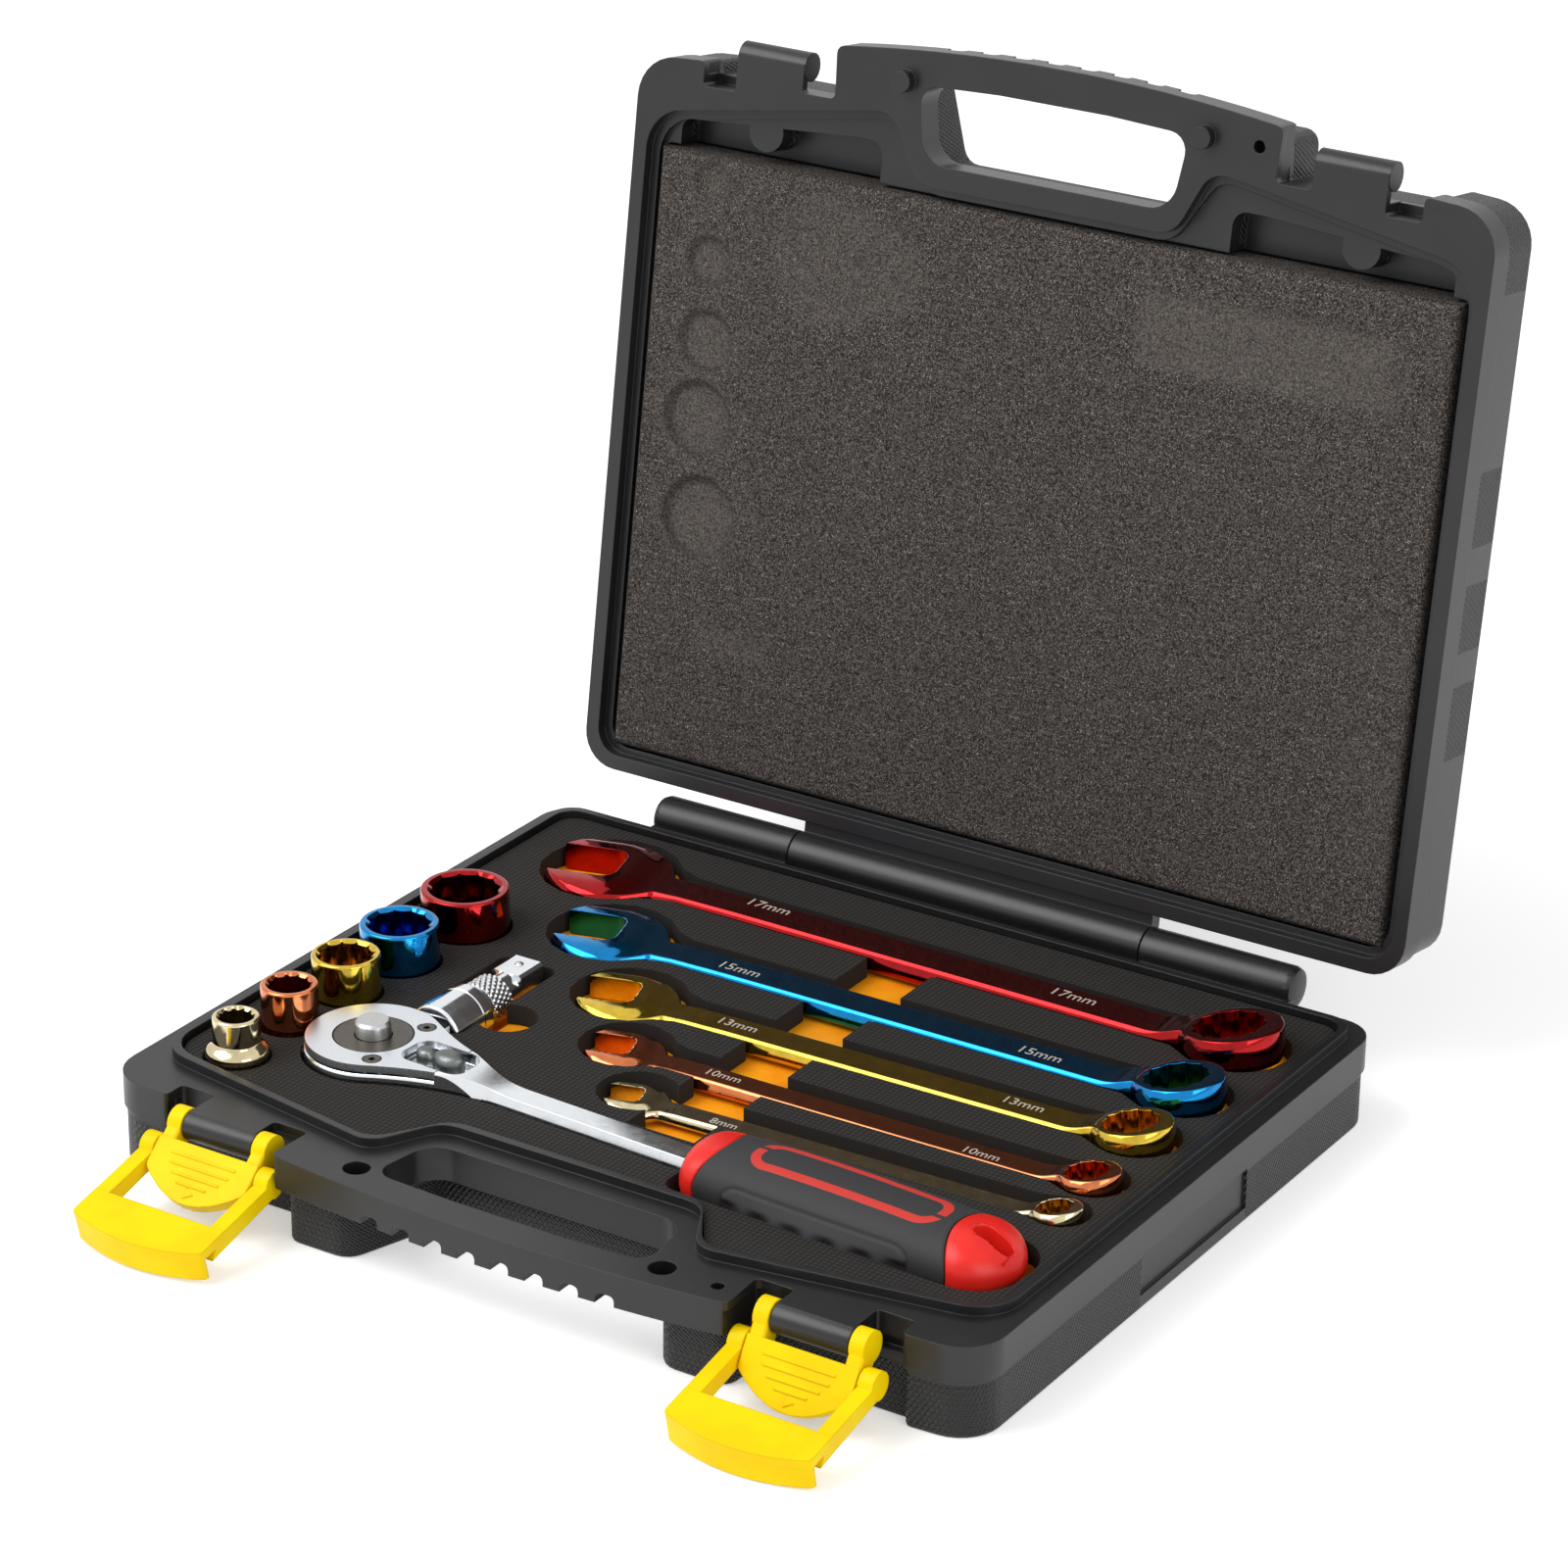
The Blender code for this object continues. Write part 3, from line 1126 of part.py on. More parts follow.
def lid_foam():
    """Drawn shut; hollowed over every tool that stands above the tray."""
    low = SHUT_GAP + LID_FOAM_GAP
    pad = slab(rounded(mirrored([
        (LID_FOAM_HALF, LID_FOAM_FRONT, 1.5 * MM), (LID_FOAM_HALF, LID_FOAM_BACK, 4 * MM),
    ])), low, SHELL_H + SHUT_GAP - FLOOR_T - FIT)
    for radius, _height, place in SOCKETS.values():
        cut(pad, cylinder(radius + DENT_CLEAR, 0, SOCKET_TOP + DENT_OVER, place, 20))
    for size in SPANNERS:
        x, y = spanner_place(size)
        d = spanner_sizes(size)
        tall = LAYER_Z + 2 * ring_seat(size) + d["ring_t"] + DENT_OVER
        cut(pad, cylinder(d["ring_r"] + DENT_CLEAR, 0, tall, (x, y), 20))
        tall = LAYER_Z + d["head_t"] + DENT_OVER
        if tall > low:
            cut(pad, cylinder(d["head_r"] + DENT_CLEAR, 0, tall, (x + jaw_centre(size), y), 20))
    head = cylinder(HEAD_R + DENT_CLEAR, 0, BUTTON_TOP + DENT_OVER, segments=28)
    shaft = slab(pear(DENT_CLEAR), 0, LEVER_TOP + DENT_OVER + 0.8 * MM)
    half = GRIP_R + DENT_CLEAR
    grip = box(GRIP_START - DENT_CLEAR, GRIP_END + DENT_CLEAR, -half, half, 0,
               GRIP_Z + GRIP_R * GRIP_FLAT + DENT_OVER)
    for obj in (head, shaft, grip):
        turn(obj, RATCHET_TURN)
        cut(pad, move(obj, *HEAD))
    wide = EXT_R + DENT_CLEAR
    cut(pad, box(EXT_X - wide, EXT_X + wide, EXT_START - DENT_CLEAR, EXT_START + extension_length() + DENT_CLEAR,
                 0, EXT_Z + EXT_R + DENT_OVER))
    move(pad, y=-HINGE_Y)
    return finish(pad, "lid_foam", "grey_foam", (0, HINGE_Y, 0), -LID_OPEN)


# ---------------------------------------------------------------- assembly

def clear_scene():
    for obj in list(bpy.data.objects):
        bpy.data.objects.remove(obj)
    collection = bpy.data.collections.new(COLLECTION)
    bpy.context.scene.collection.children.link(collection)


def empty(name, parent=None, at=(0, 0, 0), spin=0.0):
    obj = link(name, None)
    obj.parent = parent
    obj.location = at
    obj.rotation_euler.z = spin
    return obj


def stand_on_floor(frame):
    """Moves the whole set so that its box stands on the floor, centred on the origin."""
    bpy.context.view_layer.update()
    ys = []
    for obj in bpy.data.collections[COLLECTION].objects:
        if obj.type == "MESH":
            ys += [(obj.matrix_world @ vert.co).y for vert in obj.data.vertices]
    frame.location = (0, -(min(ys) + max(ys)) / 2, SHELL_H)


def main():
    clear_scene()
    frame = empty("case_frame")
    empty("ratchet_frame", frame, (*HEAD, 0), RATCHET_TURN)
    base_shell()
    lid_shell()
    hinge_pin()
    foam_orange()
    foam_black()
    lid_foam()
    for side in ("left", "right"):
        latch_handle(side)
        latch_bail(side)
    for size in SOCKETS:
        socket(size)
    for size in SPANNERS:
        spanner(size)
    ratchet_body()
    cover_plate()
    cover_screw(1, "cover_screw_back")
    cover_screw(-1, "cover_screw_front")
    drive_gear()
    release_button()
    detent_ball("drive_detent_ball", (DRIVE / 2 + BALL_OUT - BALL_R, 0, DRIVE_END + 5 * MM), "ratchet_frame")
    reverse_lever()
    pawl()
    grip_core()
    grip_sleeve()
    extension_bar()
    detent_ball("extension_detent_ball",
                (EXT_X, EXT_START + extension_length() - 5 * MM, EXT_Z + DRIVE / 2 + BALL_OUT - BALL_R),
                "case_frame")
    stand_on_floor(frame)


main()
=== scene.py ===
"""Looks for a socket wrench set in its carry case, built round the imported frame."""

import math

import bmesh
import bpy
import json
from mathutils import Matrix, Vector, noise


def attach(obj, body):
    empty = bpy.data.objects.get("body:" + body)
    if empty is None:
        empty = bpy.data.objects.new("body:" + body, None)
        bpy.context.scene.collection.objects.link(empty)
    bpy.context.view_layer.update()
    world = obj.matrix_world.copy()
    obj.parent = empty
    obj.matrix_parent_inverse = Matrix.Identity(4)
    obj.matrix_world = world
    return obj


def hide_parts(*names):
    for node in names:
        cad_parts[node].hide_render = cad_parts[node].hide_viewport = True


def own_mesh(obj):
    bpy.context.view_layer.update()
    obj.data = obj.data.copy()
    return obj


bl_info = {
    "name": "Socket Wrench Set",
    "version": (1, 0, 0),
    "blender": (4, 5, 0),
    "location": "View3D > Sidebar > Wrench Set",
    "description": "Finished pieces of a socket wrench set in its case",
    "category": "Object",
}

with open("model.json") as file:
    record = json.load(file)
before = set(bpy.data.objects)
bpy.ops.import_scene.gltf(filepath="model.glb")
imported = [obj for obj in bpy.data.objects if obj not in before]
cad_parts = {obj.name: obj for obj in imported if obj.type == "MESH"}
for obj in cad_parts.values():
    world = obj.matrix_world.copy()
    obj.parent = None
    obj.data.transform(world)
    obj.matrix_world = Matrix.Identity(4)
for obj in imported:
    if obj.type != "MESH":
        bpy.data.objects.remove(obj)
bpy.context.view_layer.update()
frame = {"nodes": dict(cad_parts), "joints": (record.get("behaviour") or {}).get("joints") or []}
NODES = frame["nodes"]
JOINTS = {joint["name"]: joint for joint in frame["joints"]}

MM = 0.001

# Places shared with the frame
HINGE = Vector(JOINTS["lid_hinge"]["pos_m"])
LID_OPEN = math.radians(98.4)
HINGE_Y = 213.5 * MM
CASE = Matrix.Translation((0, HINGE.y - HINGE_Y, HINGE.z))
LID = (Matrix.Translation(HINGE) @ Matrix.Rotation(-LID_OPEN, 4, "X")
       @ Matrix.Translation((0, -HINGE_Y, 0)))
HEAD = (-79.2 * MM, 49.0 * MM)
RATCHET = CASE @ Matrix.Translation((*HEAD, 0)) @ Matrix.Rotation(math.radians(-2.8), 4, "Z")

# Tray
FOAM_TOP = 0.6 * MM
LAYER_Z = -5.0 * MM

# Lid pad, drawn shut
PAD_HALF = 121 * MM
PAD_FRONT = 26.5 * MM
PAD_BACK = 197.5 * MM
PAD_FACE = 1.95 * MM
PAD_FLOOR = 22.55 * MM

# Sockets: outside radius, height, place
SOCKET_TOP = 12 * MM
SOCKETS = {
    17: (12.0 * MM, 30 * MM, (-103.4 * MM, 122.5 * MM)),
    15: (10.6 * MM, 29 * MM, (-105.0 * MM, 95.2 * MM)),
    13: (9.1 * MM, 28 * MM, (-105.3 * MM, 72.2 * MM)),
    10: (7.5 * MM, 28 * MM, (-106.6 * MM, 49.8 * MM)),
    8: (6.1 * MM, 27 * MM, (-106.4 * MM, 27.4 * MM)),
}
SOCKET_BASE_R = 8.2 * MM
SQUARE = 9.5 * MM
SQUARE_CLEAR = 0.15 * MM
SQUARE_DEPTH = 11 * MM
NUT_CLEAR = 0.1 * MM

# Spanners: length, ring's place along Y, turn in degrees
RING_END_X = 116.3 * MM
SPANNERS = {
    17: (226 * MM, 172.6 * MM, -0.2),
    15: (201 * MM, 141.6 * MM, 0.5),
    13: (174 * MM, 115.2 * MM, 1.4),
    10: (155 * MM, 89.4 * MM, 1.0),
    8: (136 * MM, 70.8 * MM, 1.8),
}
JAW_ANGLE = math.radians(15)
JAW_DEPTH = 0.22
SHANK_LIFT = 0.6 * MM
RING_TILT = math.radians(10)
RING_GAP = 0.3 * MM
METALS = {17: "red_metal", 15: "blue_metal", 13: "gold_metal", 10: "copper_metal", 8: "pale_metal"}

# Grip, along the ratchet's own X
GRIP_START = 104 * MM
SLEEVE_START = 112.5 * MM
SLEEVE_END = 180 * MM
GRIP_END = 197 * MM
GRIP_Z = 0.6 * MM
CAP_R = 13.2 * MM
GRIP_FLAT = 0.70
STRIPE = (121.8 * MM, 175.2 * MM)

# Ratchet, along its own X from the middle of its head
HEAD_R = 18.0 * MM
HEAD_TOP = 5.3 * MM
HEAD_LOW = -7.0 * MM
PLATE_T = 2.2 * MM
SEAM = 26 * MM
SLOPE_START = 27 * MM
NECK_END = 44 * MM
SHAFT_HALF = 5.2 * MM
SHAFT_TOP = 2.5 * MM
SHAFT_LOW = -4.4 * MM
DISC_R = 10.2 * MM
LEVER_X = 17.5 * MM
SCREW_AT = (8.6 * MM, 11.05 * MM)

# Extension bar, along Y
EXT_PLACE = (-75 * MM, 68.8 * MM, -2.0 * MM)
EXT_TIP = 11.0 * MM


def tint(red, green, blue):
    """A display colour from 0 to 255 as the linear colour that a shader takes."""
    return tuple((c / 255 / 12.92) if c <= 10 else ((c / 255 + 0.055) / 1.055) ** 2.4
                 for c in (red, green, blue))


# ---------------------------------------------------------------- settings

class WrenchSetSizes(bpy.types.PropertyGroup):
    edge_softness: bpy.props.FloatProperty(
        name="Edge softness", description="Width of the rounded edges of the moulded case",
        default=0.45 * MM, min=0.0, unit="LENGTH")
    metal_edge: bpy.props.FloatProperty(
        name="Metal edge", description="Width of the broken edges of the steel pieces",
        default=0.25 * MM, min=0.0, unit="LENGTH")
    imprint_depth: bpy.props.FloatProperty(
        name="Imprint depth", description="How far the sockets have pressed into the lid's pad",
        default=1.9 * MM, min=0.0, unit="LENGTH")
    mark_height: bpy.props.FloatProperty(
        name="Mark height", description="How far the size marks stand off the metal",
        default=0.03 * MM, min=0.0, unit="LENGTH")


class WrenchSetColours(bpy.types.PropertyGroup):
    case: bpy.props.FloatVectorProperty(
        name="Case", description="Moulded case", subtype="COLOR", size=3, default=tint(23, 23, 25))
    latch: bpy.props.FloatVectorProperty(
        name="Latches", description="Latch plates and bails", subtype="COLOR", size=3,
        default=tint(255, 222, 0))
    tray: bpy.props.FloatVectorProperty(
        name="Tray foam", description="Black top layer of the tray", subtype="COLOR", size=3,
        default=tint(39, 37, 35))
    liner: bpy.props.FloatVectorProperty(
        name="Liner foam", description="Orange layer under the tray", subtype="COLOR", size=3,
        default=tint(255, 166, 5))
    pad: bpy.props.FloatVectorProperty(
        name="Lid pad", description="Open-cell pad in the lid", subtype="COLOR", size=3,
        default=tint(65, 61, 58))
    grip: bpy.props.FloatVectorProperty(
        name="Grip", description="Red moulding of the ratchet's grip", subtype="COLOR", size=3,
        default=tint(240, 42, 32))


class WrenchSetStage(bpy.types.PropertyGroup):
    key_power: bpy.props.FloatProperty(
        name="Key light", description="Power of the large soft light", default=16.0, min=0.0, unit="POWER")
    fill_power: bpy.props.FloatProperty(
        name="Fill light", description="Power of the side light", default=5.0, min=0.0, unit="POWER")


# ---------------------------------------------------------------- materials

class Graph:
    """A material's nodes, with lengths in millimetres and the object turned by an optional rotation."""

    def __init__(self, name, colour, rough, metal=0.0, **plain):
        self.material = bpy.data.materials.new(name)
        self.material.use_nodes = True
        self.nodes = self.material.node_tree.nodes
        self.links = self.material.node_tree.links
        self.shader = self.nodes["Principled BSDF"]
        self.shader.inputs["Base Color"].default_value = (*colour, 1)
        self.shader.inputs["Roughness"].default_value = rough
        self.shader.inputs["Metallic"].default_value = metal
        for name, value in plain.items():
            self.shader.inputs[name.replace("_", " ").title().replace("Ior", "IOR")].default_value = value

    def add(self, kind, inputs, **props):
        node = self.nodes.new("ShaderNode" + kind)
        for name, value in props.items():
            setattr(node, name, value)
        for key, value in inputs.items():
            if isinstance(value, bpy.types.NodeSocket):
                self.links.new(value, node.inputs[key])
            else:
                node.inputs[key].default_value = value
        return node

    def math(self, operation, *values):
        node = self.add("Math", dict(enumerate(values)), operation=operation)
        return node.outputs[0]

    def place(self, location=(0, 0, 0), rotation=(0, 0, 0)):
        """Object coordinates in millimetres, moved and turned."""
        where = self.add("TexCoord", {}).outputs["Object"]
        turned = self.add("Mapping", {"Vector": where, "Location": location, "Rotation": rotation})
        return self.add("VectorMath", {0: turned.outputs[0], "Scale": 1000.0}, operation="SCALE").outputs[0]

    def normal(self, rotation=(0, 0, 0)):
        where = self.add("TexCoord", {}).outputs["Normal"]
        return self.add("Mapping", {"Vector": where, "Rotation": rotation}, vector_type="VECTOR").outputs[0]

    def axes(self, vector):
        return self.add("SeparateXYZ", {0: vector}).outputs

    def noise(self, vector, scale, detail=2.0, rough=0.5):
        return self.add("TexNoise", {"Vector": vector, "Scale": scale, "Detail": detail,
                                     "Roughness": rough}).outputs[0]

    def remap(self, value, low, high, to_low=0.0, to_high=1.0):
        return self.add("MapRange", {"Value": value, "From Min": low, "From Max": high,
                                     "To Min": to_low, "To Max": to_high},
                        interpolation_type="SMOOTHSTEP").outputs[0]

    def mix(self, share, first, second):
        first, second = [(*c, 1) if isinstance(c, tuple) else c for c in (first, second)]
        return self.add("Mix", {0: share, 6: first, 7: second}, data_type="RGBA").outputs[2]

    def colour(self, socket):
        self.links.new(socket, self.shader.inputs["Base Color"])

    def rough(self, socket):
        self.links.new(socket, self.shader.inputs["Roughness"])

    def soft_edges(self, radius):
        """Rounds sharp edges in the shading alone."""
        node = self.add("Bevel", {"Radius": radius}, samples=4)
        self.links.new(node.outputs[0], self.shader.inputs["Normal"])

    def bump(self, height, depth, strength=1.0):
        node = self.add("Bump", {"Height": height, "Distance": depth, "Strength": strength})
        last = self.shader.inputs["Normal"]
        if last.is_linked:
            self.links.new(last.links[0].from_socket, node.inputs["Normal"])
        self.links.new(node.outputs[0], last)


def shade(colour, share):
    return tuple(c * share for c in colour)


def colours():
    return bpy.context.scene.wrench_set_colours


def case_look(name, location, rotation, treads):
    """Moulded plastic with fine grain, and a woven tread on the lower sides between the given Y limits, whose
    ridges are painted lighter as a painted highlight.
    """
    colour = tuple(colours().case)
    g = Graph(name, colour, 0.36, specular_ior_level=0.5)
    g.soft_edges(bpy.context.scene.wrench_set_sizes.edge_softness)
    spot = g.place(location, rotation)
    x, y, z = g.axes(spot)
    up = g.math("ABSOLUTE", g.axes(g.normal(rotation))[2])
    level = g.math("ABSOLUTE", g.math("SUBTRACT", z, 1000 * HINGE.z))
    along = g.math("ADD", x, y)
    a = g.math("SINE", g.math("MULTIPLY", g.math("ADD", along, g.math("MULTIPLY", z, 1.5)), math.tau / 3.2))
    across = g.math("SUBTRACT", along, g.math("MULTIPLY", z, 0.7))
    b = g.math("SINE", g.math("MULTIPLY", across, math.tau / 3.2))
    weave = g.math("MAXIMUM", g.math("MULTIPLY", a, b), g.math("MULTIPLY", g.math("MULTIPLY", a, -0.6), b))
    band = None
    for low, high in treads:
        near = g.math("COMPARE", y, (low + high) / 2, (high - low) / 2)
        band = near if band is None else g.math("MAXIMUM", band, near)
    mask = g.math("MULTIPLY", g.remap(level, 10.6, 11.2), g.remap(up, 0.75, 0.5))
    mask = g.math("MULTIPLY", mask, band)
    tread = g.math("MULTIPLY", weave, mask)
    grain = g.noise(spot, 3.2, 3.0, 0.6)
    broad = g.noise(spot, 0.05, 2.0)
    tone = g.mix(g.remap(broad, 0.3, 0.7), shade(colour, 0.8), shade(colour, 1.15))
    # Painted highlight: the tread ridges are coloured lighter, as if catching the light.
    g.colour(g.mix(g.math("MULTIPLY", g.remap(tread, 0.2, 0.9), 0.5), tone, shade(colour, 3.2)))
    g.rough(g.math("ADD", g.remap(grain, 0.3, 0.7, 0.3, 0.42), g.math("MULTIPLY", mask, 0.06)))
    g.bump(grain, 0.05 * MM, 0.3)
    g.bump(tread, 0.9 * MM, 1.0)
    return g.material


def tray_foam_look():
    """Closed-cell foam with a skin embossed in small diamonds, coloured lighter on their raised tops and
    darker in their troughs as painted highlight and shade.
    """
    colour = tuple(colours().tray)
    g = Graph("black_tray_foam", colour, 0.85, specular_ior_level=0.25)
    g.soft_edges(0.3 * MM)
    spot = g.place()
    x, y, _z = g.axes(spot)
    wobble = g.math("MULTIPLY", g.noise(spot, 0.6, 1.0), 0.5)
    a = g.math("SINE", g.math("ADD", g.math("MULTIPLY", g.math("ADD", x, y), math.tau / 2.9), wobble))
    b = g.math("SINE", g.math("ADD", g.math("MULTIPLY", g.math("SUBTRACT", x, y), math.tau / 2.9), wobble))
    level = g.math("ABSOLUTE", g.axes(g.normal())[2])
    cells = g.math("MULTIPLY", g.math("MULTIPLY", a, b), level)
    fine = g.noise(spot, 5.0, 2.0)
    # Painted highlight and shade: the diamonds are coloured by their height, lighter where raised and darker
    # where sunk.
    tone = g.mix(g.remap(cells, -0.2, 0.7), shade(colour, 0.5), shade(colour, 2.1))
    g.colour(g.mix(g.remap(fine, 0.35, 0.75), tone, shade(colour, 1.1)))
    g.bump(cells, 0.25 * MM, 0.7)
    g.bump(fine, 0.06 * MM, 0.5)
    return g.material


def liner_foam_look():
    """Soft orange foam with closed pores and broad patches of a slightly deeper orange."""
    colour = tuple(colours().liner)
    g = Graph("orange_liner_foam", colour, 0.62, specular_ior_level=0.3)
    g.soft_edges(0.3 * MM)
    spot = g.place()
    pores = g.add("TexVoronoi", {"Vector": spot, "Scale": 1.6}).outputs["Distance"]
    broad = g.noise(spot, 0.12, 3.0)
    g.colour(g.mix(g.remap(broad, 0.35, 0.7), colour, tint(250, 146, 2)))
    g.bump(pores, 0.1 * MM, 0.35)
    return g.material


def pad_look():
    """Open-cell foam: bright and dark cell walls, paler where tools have pressed it, and painted shade along
    the edges of the dents.
    """
    colour = tuple(colours().pad)
    g = Graph("grey_pad_foam", colour, 0.95, specular_ior_level=0.15)
    spot = g.place()
    cells = g.noise(spot, 1.5, 2.5, 0.7)
    specks = g.noise(spot, 3.1, 0.0)
    pressed = g.add("Attribute", {}, attribute_name="pressed").outputs["Fac"]
    rim = g.add("Attribute", {}, attribute_name="rim").outputs["Fac"]
    base = g.mix(g.remap(cells, 0.38, 0.66), shade(colour, 0.35), shade(colour, 1.8))
    lit = g.mix(g.remap(specks, 0.64, 0.75), base, shade(colour, 5.0))
    pale = g.mix(g.remap(cells, 0.3, 0.7), shade(colour, 1.0), shade(colour, 3.0))
    worn = g.mix(g.math("MULTIPLY", pressed, 0.6), lit, pale)
    # Painted shade: the rim attribute darkens the pad in a band along each dent's edge.
    g.colour(g.mix(g.math("MULTIPLY", rim, 0.5), worn, shade(colour, 0.3)))
    g.bump(cells, 0.5 * MM, 0.7)
    return g.material


def plated_look(name, colour, rough=0.1):
    """Tinted mirror plating over polished forging, with faint swirls."""
    g = Graph(name, colour, rough, 1.0, coat_weight=0.35, coat_roughness=0.05)
    spot = g.place()
    cloud = g.noise(spot, 0.25, 3.0)
    g.colour(g.mix(g.remap(cloud, 0.3, 0.75), colour, shade(colour, 0.75)))
    g.rough(g.remap(g.noise(spot, 1.1, 4.0), 0.3, 0.8, rough * 0.7, rough * 1.7))
    g.bump(g.noise(spot, 0.18, 1.0), 0.06 * MM, 0.4)
    return g.material


def steel_look(name, colour, rough, scale=2.0, edge=0.0, worn=1.0):
    """Plain steel with fine working marks."""
    g = Graph(name, colour, rough, 1.0)
    if edge:
        g.soft_edges(edge)
    spot = g.place()
    streak = g.noise(spot, scale, 4.0, 0.65)
    g.colour(g.mix(g.remap(streak, 0.3, 0.7), colour, shade(colour, 1 - 0.2 * worn)))
    g.rough(g.remap(streak, 0.25, 0.75, rough * 0.8, rough * 1.3))
    g.bump(streak, 0.03 * MM, 0.3 * worn)
    return g.material


def latch_look():
    """Satin nylon with a very fine spark-eroded grain."""
    colour = tuple(colours().latch)
    g = Graph("yellow_latch_plastic", colour, 0.42, specular_ior_level=0.12)
    g.soft_edges(0.7 * MM)
    spot = g.place()
    grain = g.noise(spot, 4.0, 3.0, 0.6)
    broad = g.noise(spot, 0.08, 2.0)
    g.colour(g.mix(g.remap(broad, 0.35, 0.7), colour, tint(252, 212, 0)))
    g.rough(g.remap(grain, 0.3, 0.7, 0.34, 0.46))
    g.bump(grain, 0.04 * MM, 0.3)
    return g.material


def grip_red_look():
    """Glossy moulded plastic with faint flow marks."""
    colour = tuple(colours().grip)
    g = Graph("red_grip_plastic", colour, 0.34, specular_ior_level=0.35)
    spot = g.place()
    grain = g.noise(spot, 3.0, 3.0)
    g.colour(g.mix(g.remap(g.noise(spot, 0.1, 2.0), 0.35, 0.7), colour, tint(228, 34, 26)))
    g.rough(g.remap(grain, 0.3, 0.7, 0.3, 0.42))
    g.bump(grain, 0.04 * MM, 0.3)
    return g.material


def grip_black_look():
    """Matt rubber with a red line let into its top."""
    g = Graph("black_grip_rubber", tint(48, 48, 50), 0.62, specular_ior_level=0.35)
    turned = RATCHET.to_3x3().inverted()
    centre = RATCHET @ Vector(((STRIPE[0] + STRIPE[1]) / 2, 0, 0))
    spot = g.place(-(turned @ centre), turned.to_euler())
    x, y, z = g.axes(spot)
    half = 500 * (STRIPE[1] - STRIPE[0])
    flat = g.add("CombineXYZ", {0: x, 1: y}).outputs[0]
    corner = g.add("VectorMath", {0: flat}, operation="ABSOLUTE").outputs[0]
    corner = g.add("VectorMath", {0: corner, 1: (half - 4.9, 0.6, 0)}, operation="SUBTRACT").outputs[0]
    corner = g.add("VectorMath", {0: corner, 1: (0, 0, 0)}, operation="MAXIMUM").outputs[0]
    reach = g.add("VectorMath", {0: corner}, operation="LENGTH").outputs["Value"]
    ring = g.math("ABSOLUTE", g.math("SUBTRACT", reach, 4.9))
    line = g.remap(ring, 1.35, 1.2)
    slant = g.math("MULTIPLY", y, g.math("SIGN", x))
    gap = g.math("MULTIPLY", g.math("COMPARE", slant, -1.9, 0.7),
                 g.remap(g.math("ABSOLUTE", x), half - 7, half - 6.5))
    line = g.math("MULTIPLY", line, g.math("SUBTRACT", 1.0, gap))
    line = g.math("MULTIPLY", line, g.remap(z, 2.0, 2.5))
    grain = g.noise(g.place(), 4.0, 3.0, 0.6)
    black = g.mix(g.remap(grain, 0.3, 0.7), tint(42, 42, 44), tint(54, 54, 56))
    g.colour(g.mix(line, black, tint(205, 58, 48)))
    g.rough(g.remap(grain, 0.3, 0.7, 0.55, 0.7))
    g.bump(grain, 0.06 * MM, 0.4)
    g.bump(line, 0.12 * MM, 0.6)
    return g.material


COARSE = 20000                     # meshes below this many faces get their corner normals worked out here

PLATING = {
    "red_metal": (tint(172, 10, 16), 0.1),
    "blue_metal": (tint(0, 134, 204), 0.1),
    "gold_metal": (tint(225, 190, 60), 0.1),
    "copper_metal": (tint(225, 128, 78), 0.11),
    "pale_metal": (tint(225, 208, 165), 0.1),
}


# ---------------------------------------------------------------- mesh helpers

def even_normals(mesh, limit):
    """Corner normals summed by area over the faces at each corner that turn less than the limit."""
    faces = [(f.normal.copy(), f.area, tuple(f.vertices)) for f in mesh.polygons]
    around = [[] for _vertex in mesh.vertices]
    for face in faces:
        for k in face[2]:
            around[k].append(face)
    normals = []
    for normal, _area, corners in faces:
        for k in corners:
            total = Vector()
            for other, area, _corners in around[k]:
                if other.dot(normal) > limit:
                    total += other * area
            normals.append(total.normalized() if total.length > 0 else normal)
    mesh.normals_split_custom_set(normals)


def shaped(bm, name, look, body, slot, *nodes, place=None, crease=40):
    """Turns a finished bmesh into a piece that rides on a body and stands for its CAD nodes."""
    if place is not None:
        bmesh.ops.transform(bm, matrix=place, verts=bm.verts)
    mesh = bpy.data.meshes.new(name)
    bm.to_mesh(mesh)
    bm.free()
    mesh.shade_smooth()
    mesh.set_sharp_from_angle(angle=math.radians(crease))
    if len(mesh.polygons) < COARSE:
        even_normals(mesh, math.cos(math.radians(crease)))
    mesh.materials.append(look)
    obj = bpy.data.objects.new(name, mesh)
    bpy.context.scene.collection.objects.link(obj)
    if len(mesh.polygons) >= COARSE:
        mod = obj.modifiers.new("even_shading", "WEIGHTED_NORMAL")
        mod.keep_sharp = True
    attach(obj, body)
    if nodes:
        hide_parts(*nodes)
    return obj


def soften(bm, width, segments=2, angle=28):
    """Rounds every edge sharper than the angle."""
    edges = [e for e in bm.edges if len(e.link_faces) == 2 and e.calc_face_angle(0) > math.radians(angle)]
    bmesh.ops.bevel(bm, geom=edges, offset=width, offset_type="OFFSET", segments=segments, profile=0.5,
                    affect="EDGES", clamp_overlap=False, material=-1)
    return bm


def from_frame(node):
    """A merged copy of a CAD node's mesh."""
    bm = bmesh.new()
    bm.from_mesh(NODES[node].data)
    bmesh.ops.remove_doubles(bm, verts=bm.verts, dist=1e-6)
    return bm


